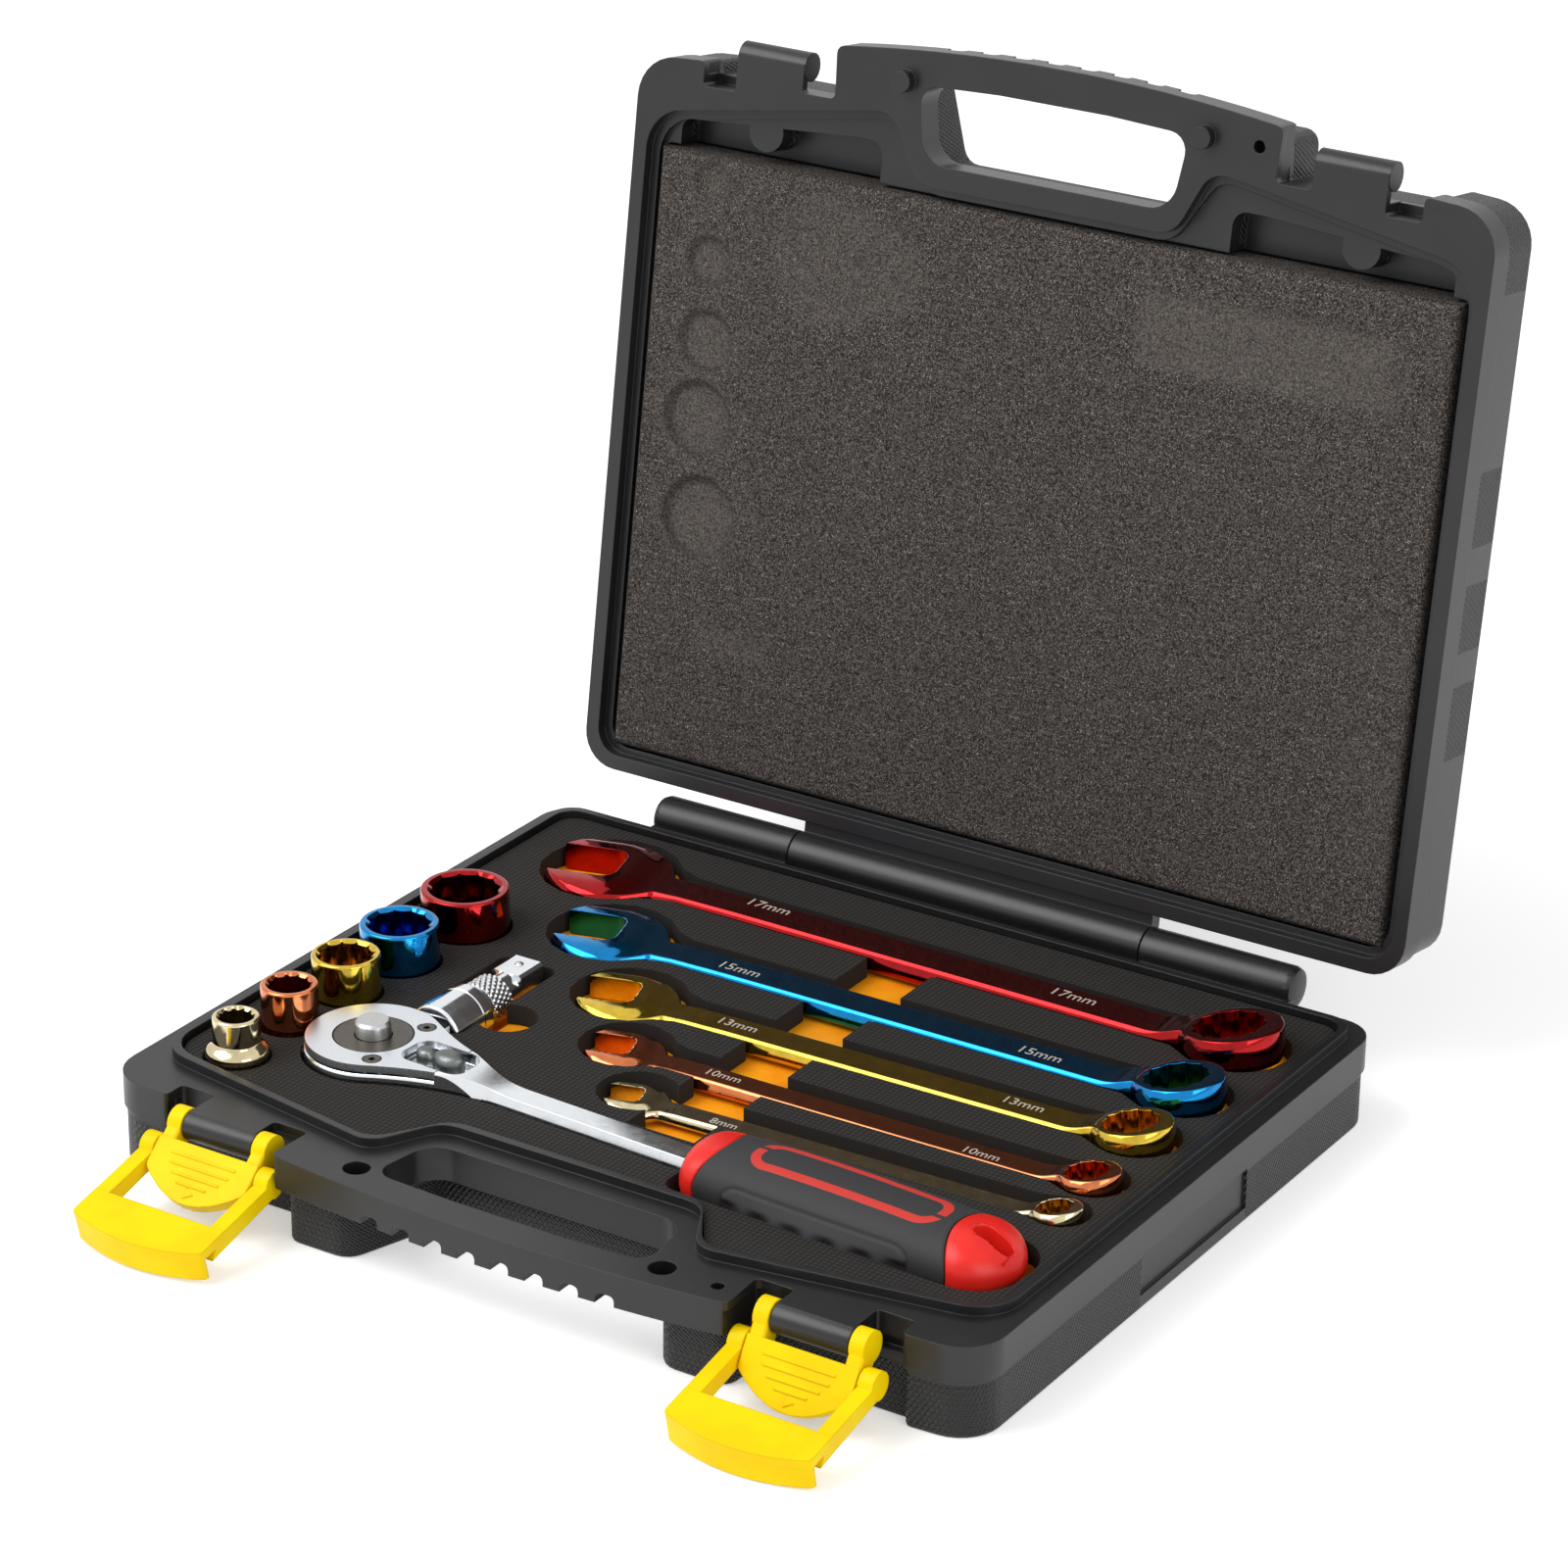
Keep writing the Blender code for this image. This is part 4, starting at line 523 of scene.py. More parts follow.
def loft(rings, closed=False):
    """Skins a tube through rings of equal length, and joins its ends or caps them."""
    bm = bmesh.new()
    order = bm.verts.layers.int.new("order")
    made = bmesh.ops.create_circle(bm, segments=len(rings[0]), radius=1.0)["verts"]
    for k, vert in enumerate(made):
        vert[order] = k
        vert.co = rings[0][k]
    first = edges = list(bm.edges)
    for ring in rings[1:] + (rings[:1] if closed else []):
        geom = bmesh.ops.extrude_edge_only(bm, edges=edges)["geom"]
        fresh = {g for g in geom if isinstance(g, bmesh.types.BMVert)}
        for vert in fresh:
            vert.co = ring[vert[order]]
        edges = [e for e in {e for v in fresh for e in v.link_edges}
                 if e.verts[0] in fresh and e.verts[1] in fresh]
    if closed:
        bmesh.ops.remove_doubles(bm, verts=bm.verts, dist=1e-7)
    else:
        for loop in (first, edges):
            bmesh.ops.contextual_create(bm, geom=loop)
    bmesh.ops.recalc_face_normals(bm, faces=bm.faces)
    return bm


def round_ring(count, radius, z):
    """Points round the Z axis, the radius being a number or a function of the angle."""
    points = []
    for k in range(count):
        a = math.tau * k / count
        r = radius(a) if callable(radius) else radius
        points.append(Vector((r * math.cos(a), r * math.sin(a), z)))
    return points


def star_radius(size, over=0.0):
    """Distance from the middle of a twelve-point nut shape to its side, at an angle."""
    flat = size * MM / 2 + NUT_CLEAR
    tip = flat / math.cos(math.radians(30)) * 0.975 + over
    notch = flat / math.cos(math.radians(15)) + over
    step = math.radians(15)

    def radius(a):
        k = math.floor(a / step + 1e-6)
        u = a - k * step
        r1, r2 = (notch, tip) if k % 2 == 0 else (tip, notch)
        return r1 * r2 * math.sin(step) / (r1 * math.sin(u) + r2 * math.sin(step - u))
    return radius


def square_radius(half, corner=0.93):
    def radius(a):
        return min(half / max(abs(math.cos(a)), abs(math.sin(a))), half * math.sqrt(2) * corner)
    return radius


def cut(bm, cutter):
    """Takes the cutter's solid out of bm and gives the result as a new bmesh."""
    objects = []
    for part in (bm, cutter):
        mesh = bpy.data.meshes.new("cut")
        part.to_mesh(mesh)
        part.free()
        obj = bpy.data.objects.new("cut", mesh)
        bpy.context.scene.collection.objects.link(obj)
        objects.append(obj)
    mod = objects[0].modifiers.new("cut", "BOOLEAN")
    mod.operation = "DIFFERENCE"
    mod.object = objects[1]
    mod.solver = "EXACT"
    graph = bpy.context.evaluated_depsgraph_get()
    mesh = bpy.data.meshes.new_from_object(objects[0].evaluated_get(graph))
    result = bmesh.new()
    result.from_mesh(mesh)
    for obj in objects:
        bpy.data.objects.remove(obj)
    bpy.data.meshes.remove(mesh)
    return result


def smooth(t):
    t = min(max(t, 0.0), 1.0)
    return t * t * (3 - 2 * t)


def lettering(text, height, name, look, body, slot, place, thick):
    """Flat lettering as a thin mesh, centred on the place."""
    curve = bpy.data.curves.new(name, "FONT")
    curve.body = text
    curve.size = height
    curve.align_x = "CENTER"
    curve.align_y = "CENTER"
    curve.extrude = thick
    curve.resolution_u = 3
    guide = bpy.data.objects.new("guide", curve)
    bpy.context.scene.collection.objects.link(guide)
    graph = bpy.context.evaluated_depsgraph_get()
    mesh = bpy.data.meshes.new_from_object(guide.evaluated_get(graph))
    bpy.data.objects.remove(guide)
    bm = bmesh.new()
    bm.from_mesh(mesh)
    bpy.data.meshes.remove(mesh)
    bmesh.ops.remove_doubles(bm, verts=bm.verts, dist=1e-7)
    return shaped(bm, name, look, body, slot, place=place)


# ---------------------------------------------------------------- operators

class WRENCHSET_OT_case(bpy.types.Operator):
    """Softened case halves with grained sides, and the hinge pin"""

    bl_idname = "wrench_set.case"
    bl_label = "Case"

    def execute(self, context):
        offset = 1000 * (HINGE.y - HINGE_Y)
        panel = (80 + offset, 134 + offset)
        look = case_look("case_plastic_base", (0, 0, 0), (0, 0, 0), [(-300, panel[0]), (panel[1], 300)])
        bm = from_frame("base_shell")
        shaped(bm, "case_base", look, "base", "case_plastic", "base_shell", crease=25)
        back = Matrix.Rotation(LID_OPEN, 3, "X")
        patches = [(-300, 24 + offset), (70 + offset, 90 + offset), (100 + offset, 118 + offset),
                   (127 + offset, 147 + offset)]
        look = case_look("case_plastic_lid", HINGE - back @ HINGE, (LID_OPEN, 0, 0), patches)
        bm = from_frame("lid_shell")
        shaped(bm, "case_lid", look, "lid", "case_plastic", "lid_shell", crease=25)
        pin = steel_look("hinge_steel", tint(190, 190, 192), 0.3)
        shaped(from_frame("hinge_pin"), "hinge_rod", pin, "base", "satin_steel", "hinge_pin")
        return {"FINISHED"}


class WRENCHSET_OT_tray(bpy.types.Operator):
    """Two foam layers of the tray, and the socket sizes pressed into the top one"""

    bl_idname = "wrench_set.tray"
    bl_label = "Tray foam"

    NUMBERS = {17: (-93, 105.5), 15: (-93, 83.5), 13: (-95, 62), 10: (-95, 40), 8: (-97, 18)}

    def execute(self, context):
        bm = from_frame("base_foam_black")
        layer = shaped(bm, "tray_layer_black", tray_foam_look(), "base", "black_foam", "base_foam_black")
        bm = from_frame("base_foam_orange")
        liner = shaped(bm, "tray_layer_orange", liner_foam_look(), "base", "orange_foam", "base_foam_orange")
        ink = Graph("pressed_numbers", tint(22, 21, 21), 0.7)
        ink.bump(ink.noise(ink.place(), 2.0), 0.05 * MM)
        for size, (x, y) in self.NUMBERS.items():
            place = CASE @ Matrix.Translation((x * MM, y * MM, FOAM_TOP))
            lettering(str(size), 6.5 * MM, f"tray_number_{size}", ink.material, "base", "black_foam",
                      place, 0.02 * MM)
        return {"FINISHED"}


class WRENCHSET_OT_pad(bpy.types.Operator):
    """The lid's open-cell pad, marked where the tools press on it, with painted shade round the edges of the
    dents
    """

    bl_idname = "wrench_set.pad"
    bl_label = "Lid pad"

    # Place, radius and share of the imprint depth, in millimetres
    DISCS = [
        (-99, 127, 11, 1.0), (-102, 99.5, 10, 1.0), (-101.5, 77.5, 8, 0.9), (-102.5, 55.5, 6.5, 0.9),
        (-103.5, 33.5, 5, 0.6), (-72, 45, 4.5, 0.5), (-55, 47, 1.2, 0.7), (110, 118, 9, 0.25),
        (111, 150, 10, 0.3), (112, 168, 8, 0.2),
    ]

    def press(self, x, y):
        """Share of the full depth, of the paler colour and of the painted shade at the dents' edges at a
        point, in millimetres.
        """
        depth = pale = rim = 0.0
        for cx, cy, radius, share in self.DISCS:
            d = math.hypot(x - cx, y - cy)
            if d < radius + 9:
                inside = 1 - smooth((d - radius + 0.7) / 1.4)
                depth = max(depth, share * inside)
                halo = 1 - smooth((d - radius) / 8)
                pale = max(pale, share * (0.55 * inside + 0.4 * halo))
                # Painted shade: a narrow dark band along the edge of each dent.
                rim = max(rim, share * math.exp(-((d - radius) / 0.8) ** 2))
        d = math.hypot(x + 65, y - 48)
        pear = 1 - smooth((d - 15) / 7)
        if x > -65:
            half = 17 - 0.4 * (x + 65)
            pear = max(pear, (1 - smooth((abs(y - 48) - half) / 5)) * (1 - smooth((x + 40) / 8)))
        grip = ((1 - smooth((abs(y - 48.5) - 8) / 4)) * smooth((x - 28) / 5) * (1 - smooth((x - 98) / 14)))
        bar = (1 - smooth((abs(y - 160) - 2) / 5)) * (1 - smooth((abs(x + 85) - 9) / 6))
        depth = max(depth, 0.35 * pear, 0.45 * grip, 0.2 * bar)
        pale = max(pale, 0.6 * pear, 0.95 * grip, 0.5 * bar)
        return depth, pale, rim

    def execute(self, context):
        full = context.scene.wrench_set_sizes.imprint_depth
        bm = bmesh.new()
        bmesh.ops.create_grid(bm, x_segments=200, y_segments=142, size=1.0)
        pressed = bm.verts.layers.float.new("pressed")
        rim_shade_layer = bm.verts.layers.float.new("rim")
        for vert in bm.verts:
            x = vert.co.x * PAD_HALF
            y = (PAD_FRONT + PAD_BACK) / 2 + vert.co.y * (PAD_BACK - PAD_FRONT) / 2
            depth, pale, dark = self.press(1000 * x, 1000 * y)
            edge = min(PAD_HALF - abs(x), y - PAD_FRONT, PAD_BACK - y)
            lip = max(0.0, 1.2 * MM - edge)
            roll = 1.2 * MM - math.sqrt(max((1.2 * MM) ** 2 - lip ** 2, 0))
            ripple = 0.35 * MM * noise.noise(Vector((28 * x, 28 * y, 0.3)))
            vert.co = (x, y, PAD_FACE + roll + full * depth + abs(ripple))
            vert[pressed] = pale
            # The rim layer holds painted shade for the edges of the dents.
            vert[rim_shade_layer] = dark
        rim = [e for e in bm.edges if e.is_boundary]
        geom = bmesh.ops.extrude_edge_only(bm, edges=rim)["geom"]
        low = {g for g in geom if isinstance(g, bmesh.types.BMVert)}
        for vert in low:
            vert.co.z = PAD_FLOOR
        floor = [e for e in {e for v in low for e in v.link_edges} if e.verts[0] in low and e.verts[1] in low]
        bmesh.ops.contextual_create(bm, geom=floor)
        bmesh.ops.recalc_face_normals(bm, faces=bm.faces)
        pad = shaped(bm, "lid_pad", pad_look(), "lid", "grey_foam", "lid_foam", place=LID, crease=60)
        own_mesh(pad)
        return {"FINISHED"}


class WRENCHSET_OT_latches(bpy.types.Operator):
    """Latch plates with their finger ribs and arrow, and the bails"""

    bl_idname = "wrench_set.latches"
    bl_label = "Latches"

    RIBS = [(-0.5, 10.0), (-3.0, 9.2), (-5.4, 7.4), (-7.6, 4.6)]

    def execute(self, context):
        look = latch_look()
        for side in ("left", "right"):
            node = f"latch_handle_{side}"
            shaped(from_frame(node), f"latch_plate_{side}", look, node, "latch_plastic", node)
            bail = f"latch_bail_{side}"
            shaped(from_frame(bail), f"latch_frame_{side}", look, bail, "latch_plastic", bail)
            joint = JOINTS[f"{node}_pivot"]
            drop = math.radians({"left": 42, "right": 58}[side])
            tip_down = Matrix.Rotation(drop - math.radians(90), 4, "X")
            seat = Matrix.Translation(Vector(joint["pos_m"])) @ tip_down
            ribs = bmesh.new()
            for down, half in self.RIBS:
                made = bmesh.ops.create_cube(ribs, size=1.0)["verts"]
                for vert in made:
                    vert.co.x *= 2 * half * MM
                    vert.co.y = -3.4 * MM + vert.co.y * 0.7 * MM
                    vert.co.z = (down - 8.4) * MM + vert.co.z * 0.8 * MM
            made = bmesh.ops.create_cone(ribs, cap_ends=True, segments=3, radius1=1.9 * MM,
                                         radius2=1.9 * MM, depth=0.7 * MM)["verts"]
            tip = Matrix.Translation((0, -3.4 * MM, -18.0 * MM)) @ Matrix.Rotation(math.radians(90), 4, "X")
            bmesh.ops.transform(ribs, matrix=tip @ Matrix.Rotation(math.radians(-90), 4, "Z"), verts=made)
            soften(ribs, 0.15 * MM, 2)
            shaped(ribs, f"latch_ribs_{side}", look, node, "latch_plastic", place=seat)
        return {"FINISHED"}


class WRENCHSET_OT_sockets(bpy.types.Operator):
    """Five plated sockets with twelve-point mouths"""

    bl_idname = "wrench_set.sockets"
    bl_label = "Sockets"

    COUNT = 240

    def rings(self, size):
        radius, height, _place = SOCKETS[size]
        drive_r = max(radius - 0.5 * MM, SOCKET_BASE_R)
        square = SQUARE / 2 + SQUARE_CLEAR
        star = star_radius(size)
        mouth = size * MM / 2 / math.cos(math.radians(30)) + 0.35 * MM
        bore = 0.4 * size * MM
        edge = 0.7 * MM
        rows = [(square_radius(square + 0.4 * MM), 0), (square_radius(square), 0.4 * MM),
                (square_radius(square), SQUARE_DEPTH), (bore, SQUARE_DEPTH + 0.01 * MM),
                (bore, 0.55 * height), (star, 0.55 * height + 0.01 * MM), (star, height - 0.75 * MM),
                (mouth, height - 0.06 * MM), (mouth + 0.12 * MM, height)]
        for k in range(5):
            a = math.radians(90 * k / 4)
            rows.append((radius - edge + edge * math.sin(a), height - edge + edge * math.cos(a)))
        if drive_r > radius:
            top = height - (0.36 if size < 10 else 0.5) * height + 3 * MM
            rows += [(radius + (drive_r - radius) * smooth(k / 8), top - 3 * MM * k / 8) for k in range(9)]
            z = top - 3.4 * MM
        else:
            rows += [(radius, 9 * MM), (drive_r, 8.4 * MM)]
            z = 8 * MM

        def knurled(a):
            return drive_r - 0.16 * MM * (0.5 + 0.5 * math.cos(60 * a))
        rows += [(drive_r, z), (knurled, z - 0.3 * MM), (knurled, z - 2.6 * MM), (drive_r, z - 2.9 * MM),
                 (drive_r, edge)]
        rows += [(drive_r - edge * (1 - math.cos(math.radians(a))), edge * (1 - math.sin(math.radians(a))))
                 for a in (30, 60, 90)]
        return [round_ring(self.COUNT, r, z) for r, z in rows]

    def execute(self, context):
        for size, (_radius, height, place) in SOCKETS.items():
            slot = METALS[size]
            look = bpy.data.materials.get(slot + "_plating") or plated_look(slot + "_plating", *PLATING[slot])
            where = CASE @ Matrix.Translation((*place, SOCKET_TOP - height))
            shaped(loft(self.rings(size), closed=True), f"plated_socket_{size}mm", look,
                   f"socket_{size}mm", slot, f"socket_{size}mm", place=where)
        return {"FINISHED"}


class WRENCHSET_OT_spanners(bpy.types.Operator):
    """Five plated combination spanners with their size marks"""

    bl_idname = "wrench_set.spanners"
    bl_label = "Spanners"

    MARKS = {17: ((-41, 176), (55, 174)), 15: ((-27, 140), (64, 141)), 13: ((-10, 113), (74, 115.5)),
             10: ((2, 88), (78, 88)), 8: ((16, 67),)}

    def sizes(self, size):
        s = size * MM
        d = {"head_r": 1.02 * s + 0.8 * MM, "ring_r": 0.735 * s + 0.6 * MM, "shank": 0.31 * s + 1.6 * MM,
             "head_t": 0.33 * s + 2.2 * MM, "ring_t": 0.42 * s + 2.4 * MM, "shank_t": 0.26 * s + 1.5 * MM}
        d["jaw"] = -(SPANNERS[size][0] - d["ring_r"] - d["head_r"])
        d["seat"] = RING_GAP + d["ring_r"] * math.sin(RING_TILT)
        d["top"] = SHANK_LIFT + d["shank_t"]
        d["size"] = s
        return d

    def half_width(self, x, d):
        head = math.sqrt(max(d["head_r"] ** 2 - (x - d["jaw"]) ** 2, 0))
        ring = math.sqrt(max(d["ring_r"] ** 2 - x ** 2, 0))
        if x <= d["jaw"]:
            return head
        if x >= 0:
            return ring
        reach = max(head, ring)
        shank = d["shank"] * smooth((x - d["jaw"]) / (0.3 * d["head_r"])) * smooth(-x / (0.3 * d["ring_r"]))
        return (reach ** 4 + shank ** 4) ** 0.25

    def underside(self, x, d):
        into_shank = smooth((x - d["jaw"] - 0.3 * d["head_r"]) / (0.8 * d["head_r"]))
        into_ring = smooth((x + 1.9 * d["ring_r"]) / (1.0 * d["ring_r"]))
        low = SHANK_LIFT * into_shank
        return low + (d["seat"] + x * math.tan(RING_TILT) - low) * into_ring

    def topside(self, x, y, d):
        """Top at a point: a raised band round the jaw, a dip, the shank, and the leaning ring."""
        u = (x - d["jaw"]) * math.cos(JAW_ANGLE) + y * math.sin(JAW_ANGLE)
        v = abs(y * math.cos(JAW_ANGLE) - (x - d["jaw"]) * math.sin(JAW_ANGLE))
        s = d["size"]
        away = math.hypot(max(u - (JAW_DEPTH - 0.25) * s, 0), max(v - 0.25 * s, 0)) - 0.25 * s
        fall = smooth((away - 0.19 * s) / (0.42 * s))
        along = smooth((x - d["jaw"] + 0.1 * d["head_r"]) / (0.7 * d["head_r"]))
        dip = 0.12 * d["shank_t"] * (1 - smooth((x - d["jaw"] - 0.9 * d["head_r"]) / (0.9 * d["head_r"])))
        low = d["head_t"] - 1.5 * MM + (d["top"] - dip - d["head_t"] + 1.5 * MM) * along
        top = d["head_t"] + (low - d["head_t"]) * fall
        if x > d["jaw"] + d["head_r"]:
            top = low
        into_ring = smooth((x + 1.9 * d["ring_r"]) / (1.0 * d["ring_r"]))
        ring = d["seat"] + x * math.tan(RING_TILT) + d["ring_t"] / math.cos(RING_TILT)
        bulge = max(math.hypot(x, y) - 0.86 * d["ring_r"], 0) / (0.14 * d["ring_r"])
        return top + (ring - 0.5 * MM * min(bulge, 1) ** 2 - top) * into_ring

    def section(self, x, d):
        half = max(self.half_width(x, d), 0.3 * MM)
        low, mid = self.underside(x, d), self.topside(x, 0, d)
        on_head = 1 - smooth((x - d["jaw"] - 0.4 * d["head_r"]) / (0.9 * d["head_r"]))
        on_ring = smooth((x + 2.0 * d["ring_r"]) / (1.0 * d["ring_r"]))
        plain = max(on_head, on_ring)
        across = min(0.6 * half, 0.24 * d["shank"] + (1.3 * MM - 0.24 * d["shank"]) * plain)
        down = (0.6 - 0.2 * plain) * (mid - low)
        count = 24
        points = []
        for k in range(count + 1):
            y = (half - across) * (1 - 2 * k / count)
            points.append(Vector((x, y, self.topside(x, y, d))))
        for side in (-1, 1):
            height = points[-1 if side < 0 else 0].z
            row = [(half - 0.35 * across, height - 0.4 * down), (half, height - down),
                   (half, low + 1.2 * MM), (half - min(1.2 * MM, 0.6 * half), low)]
            if side > 0:
                row.reverse()
            points += [Vector((x, side * y, z)) for y, z in row]
        return points

    def stations(self, d):
        jaw, head, ring = d["jaw"], d["head_r"], d["ring_r"]
        xs = [jaw - head * math.cos(math.radians(a)) for a in range(3, 91, 4)]
        xs += [jaw + head * k / 16 for k in range(1, 24)]
        start, end = xs[-1], -2.0 * ring
        xs += [start + (end - start) * k / 8 for k in range(1, 9)]
        xs += [-2.0 * ring + ring * k / 14 for k in range(1, 15)]
        xs += [-ring * math.cos(math.radians(a)) for a in range(12, 178, 5)]
        return sorted(set(round(x, 7) for x in xs))

    def blank(self, size, d):
        s = size * MM
        bm = loft([self.section(x, d) for x in self.stations(d)])
        radius = 0.25 * s
        outline = [Vector((-2.2 * d["head_r"], -s / 2)), Vector((-d["head_r"], -s / 2))]
        for cy, start in ((-s / 2 + radius, -90), (s / 2 - radius, 0)):
            for k in range(9):
                a = math.radians(start + 90 * k / 8)
                reach = JAW_DEPTH * s - radius + radius * math.cos(a)
                outline.append(Vector((reach, cy + radius * math.sin(a))))
        outline += [Vector((-d["head_r"], s / 2)), Vector((-2.2 * d["head_r"], s / 2))]
        jaw = loft([[Vector((p.x, p.y, z)) for p in outline] for z in (-3 * MM, 20 * MM)])
        place = Matrix.Translation((d["jaw"], 0, 0)) @ Matrix.Rotation(JAW_ANGLE, 4, "Z")
        bmesh.ops.transform(jaw, matrix=place, verts=jaw.verts)
        bm = cut(bm, jaw)
        star = loft([round_ring(96, star_radius(size), z) for z in (-8 * MM, 22 * MM)])
        place = Matrix.Translation((0, 0, d["seat"])) @ Matrix.Rotation(-RING_TILT, 4, "Y")
        bmesh.ops.transform(star, matrix=place, verts=star.verts)
        return cut(bm, star)

    def execute(self, context):
        ink = Graph("size_mark_print", tint(190, 180, 170), 0.5)
        ink.bump(ink.noise(ink.place(), 3.0), 0.02 * MM)
        thick = context.scene.wrench_set_sizes.mark_height
        edge = context.scene.wrench_set_sizes.metal_edge
        for size, (_length, y, spin) in SPANNERS.items():
            d = self.sizes(size)
            slot = METALS[size]
            look = bpy.data.materials.get(slot + "_plating") or plated_look(slot + "_plating", *PLATING[slot])
            bm = soften(self.blank(size, d), edge, 2, 42)
            at = CASE @ Matrix.Translation((RING_END_X - d["ring_r"], y, LAYER_Z))
            shaped(bm, f"plated_spanner_{size}mm", look, f"spanner_{size}mm", slot, f"spanner_{size}mm",
                   place=at @ Matrix.Rotation(math.radians(spin), 4, "Z"))
            for k, (mx, my) in enumerate(self.MARKS[size]):
                height = (0.18 * size + 2.5) * MM
                place = (CASE @ Matrix.Translation((mx * MM, my * MM, LAYER_Z + d["top"]))
                         @ Matrix.Rotation(math.radians(spin), 4, "Z"))
                lettering(f"{size}mm", height, f"size_mark_{size}mm_{k + 1}", ink.material,
                          f"spanner_{size}mm", slot, place, thick)
        return {"FINISHED"}


class WRENCHSET_OT_ratchet(bpy.types.Operator):
    """Ratchet head and shaft with its plate, screws, gear, button and reverse lever"""

    bl_idname = "wrench_set.ratchet"
    bl_label = "Ratchet"

    def half_width(self, x, inset=0.0):
        """Half-width of the pear-shaped outline at x."""
        bend = HEAD_R * math.cos(math.radians(60))
        if x <= bend:
            wide = math.sqrt(max((HEAD_R - inset) ** 2 - x ** 2, 0))
            return wide
        if x >= NECK_END:
            return SHAFT_HALF - inset
        span = NECK_END - bend
        u = (x - bend) / span
        h1 = HEAD_R * math.sin(math.radians(60))
        slope = -bend / h1
        width = (2 * u ** 3 - 3 * u ** 2 + 1) * h1 + (u ** 3 - 2 * u ** 2 + u) * span * slope
        return width + (3 * u ** 2 - 2 * u ** 3) * SHAFT_HALF - inset

    def top(self, x):
        drop = smooth((x - SLOPE_START) / (NECK_END + 4 * MM - SLOPE_START))
        return HEAD_TOP + (SHAFT_TOP - HEAD_TOP) * drop

    def stations(self, start, end, radius):
        round_part = [-radius * math.cos(math.radians(a)) for a in range(3, 90, 4)]
        row = round_part + [start + k * MM for k in range(0, int((end - start) / MM) + 1)] + [end]
        keep = []
        for x in sorted(row):
            if start <= x <= end and (not keep or x - keep[-1] > 0.12 * MM):
                keep.append(x)
        return keep

    def body(self):
        """Head, neck and shaft: stepped under the cover plate, then a flat-topped bar with sloped sides."""
        rings = []
        floor = HEAD_TOP - PLATE_T - 0.5 * MM
        steps = self.stations(-HEAD_R + 0.02 * MM, GRIP_START + 2 * MM, HEAD_R)
        steps = [x for x in steps if abs(x - SEAM) > 0.4 * MM] + [SEAM + 0.1 * MM, SEAM + 0.2 * MM]
        for x in sorted(steps):
            wide = max(self.half_width(x), 0.4 * MM)
            bar = smooth((x - 16 * MM) / (30 * MM))
            low = HEAD_LOW + (SHAFT_LOW - HEAD_LOW) * bar
            high = self.top(x) if x > SEAM + 0.15 * MM else floor
            slope = smooth((x - SEAM - 1 * MM) / (15 * MM))
            across = min(0.5 * wide, 0.5 * MM + 1.45 * MM * slope)
            down = 0.6 * MM + 4.6 * MM * slope
            if x <= SEAM + 0.15 * MM:
                down = min(down, 0.8 * MM)
            base = min(1.4 * MM, 0.5 * wide)
            row = [(wide - across, high), (wide, high - down), (wide, low + base), (wide - base, low)]
            points = [Vector((x, y, z)) for y, z in row] + [Vector((x, -y, z)) for y, z in reversed(row)]
            rings.append(points)
        return loft(rings)

    def plate(self):
        """Pear-shaped cover plate, square at its seam."""
        inset = 0.45 * MM
        xs = self.stations(-HEAD_R + inset + 0.01 * MM, SEAM, HEAD_R - inset)
        upper = [Vector((x, self.half_width(x, inset), 0)) for x in xs]
        outline = upper + [Vector((p.x, -p.y, 0)) for p in reversed(upper[1:])]
        bm = bmesh.new()
        verts = [bm.verts.new(p) for p in outline]
        face = bm.faces.new(verts)
        made = bmesh.ops.extrude_face_region(bm, geom=[face])["geom"]
        for vert in bm.verts:
            vert.co.z = HEAD_TOP - PLATE_T
        for item in made:
            if isinstance(item, bmesh.types.BMVert):
                item.co.z = HEAD_TOP
        bmesh.ops.recalc_face_normals(bm, faces=bm.faces)
        return bm

    def recess(self, low):
        """Round-cornered hollow for the lever."""
        x0, x1, half, corner = 12.3 * MM, 31.7 * MM, 6.2 * MM, 4 * MM
        points = []
        for cx, cy, start in ((x1 - corner, half - corner, 0), (x0 + corner, half - corner, 90),
                              (x0 + corner, corner - half, 180), (x1 - corner, corner - half, 270)):
            for k in range(9):
                a = math.radians(start + 90 * k / 8)
                points.append((cx + corner * math.cos(a), cy + corner * math.sin(a)))
        return loft([[Vector((x, y, z)) for x, y in points] for z in (low, HEAD_TOP + 3 * MM)])

    def post(self, radius, x, y, low, high, count=64):
        turns = [math.tau * k / count for k in range(count)]
        ring = [Vector((x + radius * math.cos(a), y + radius * math.sin(a), 0)) for a in turns]
        return loft([[p + Vector((0, 0, z)) for p in ring] for z in (low, high)])

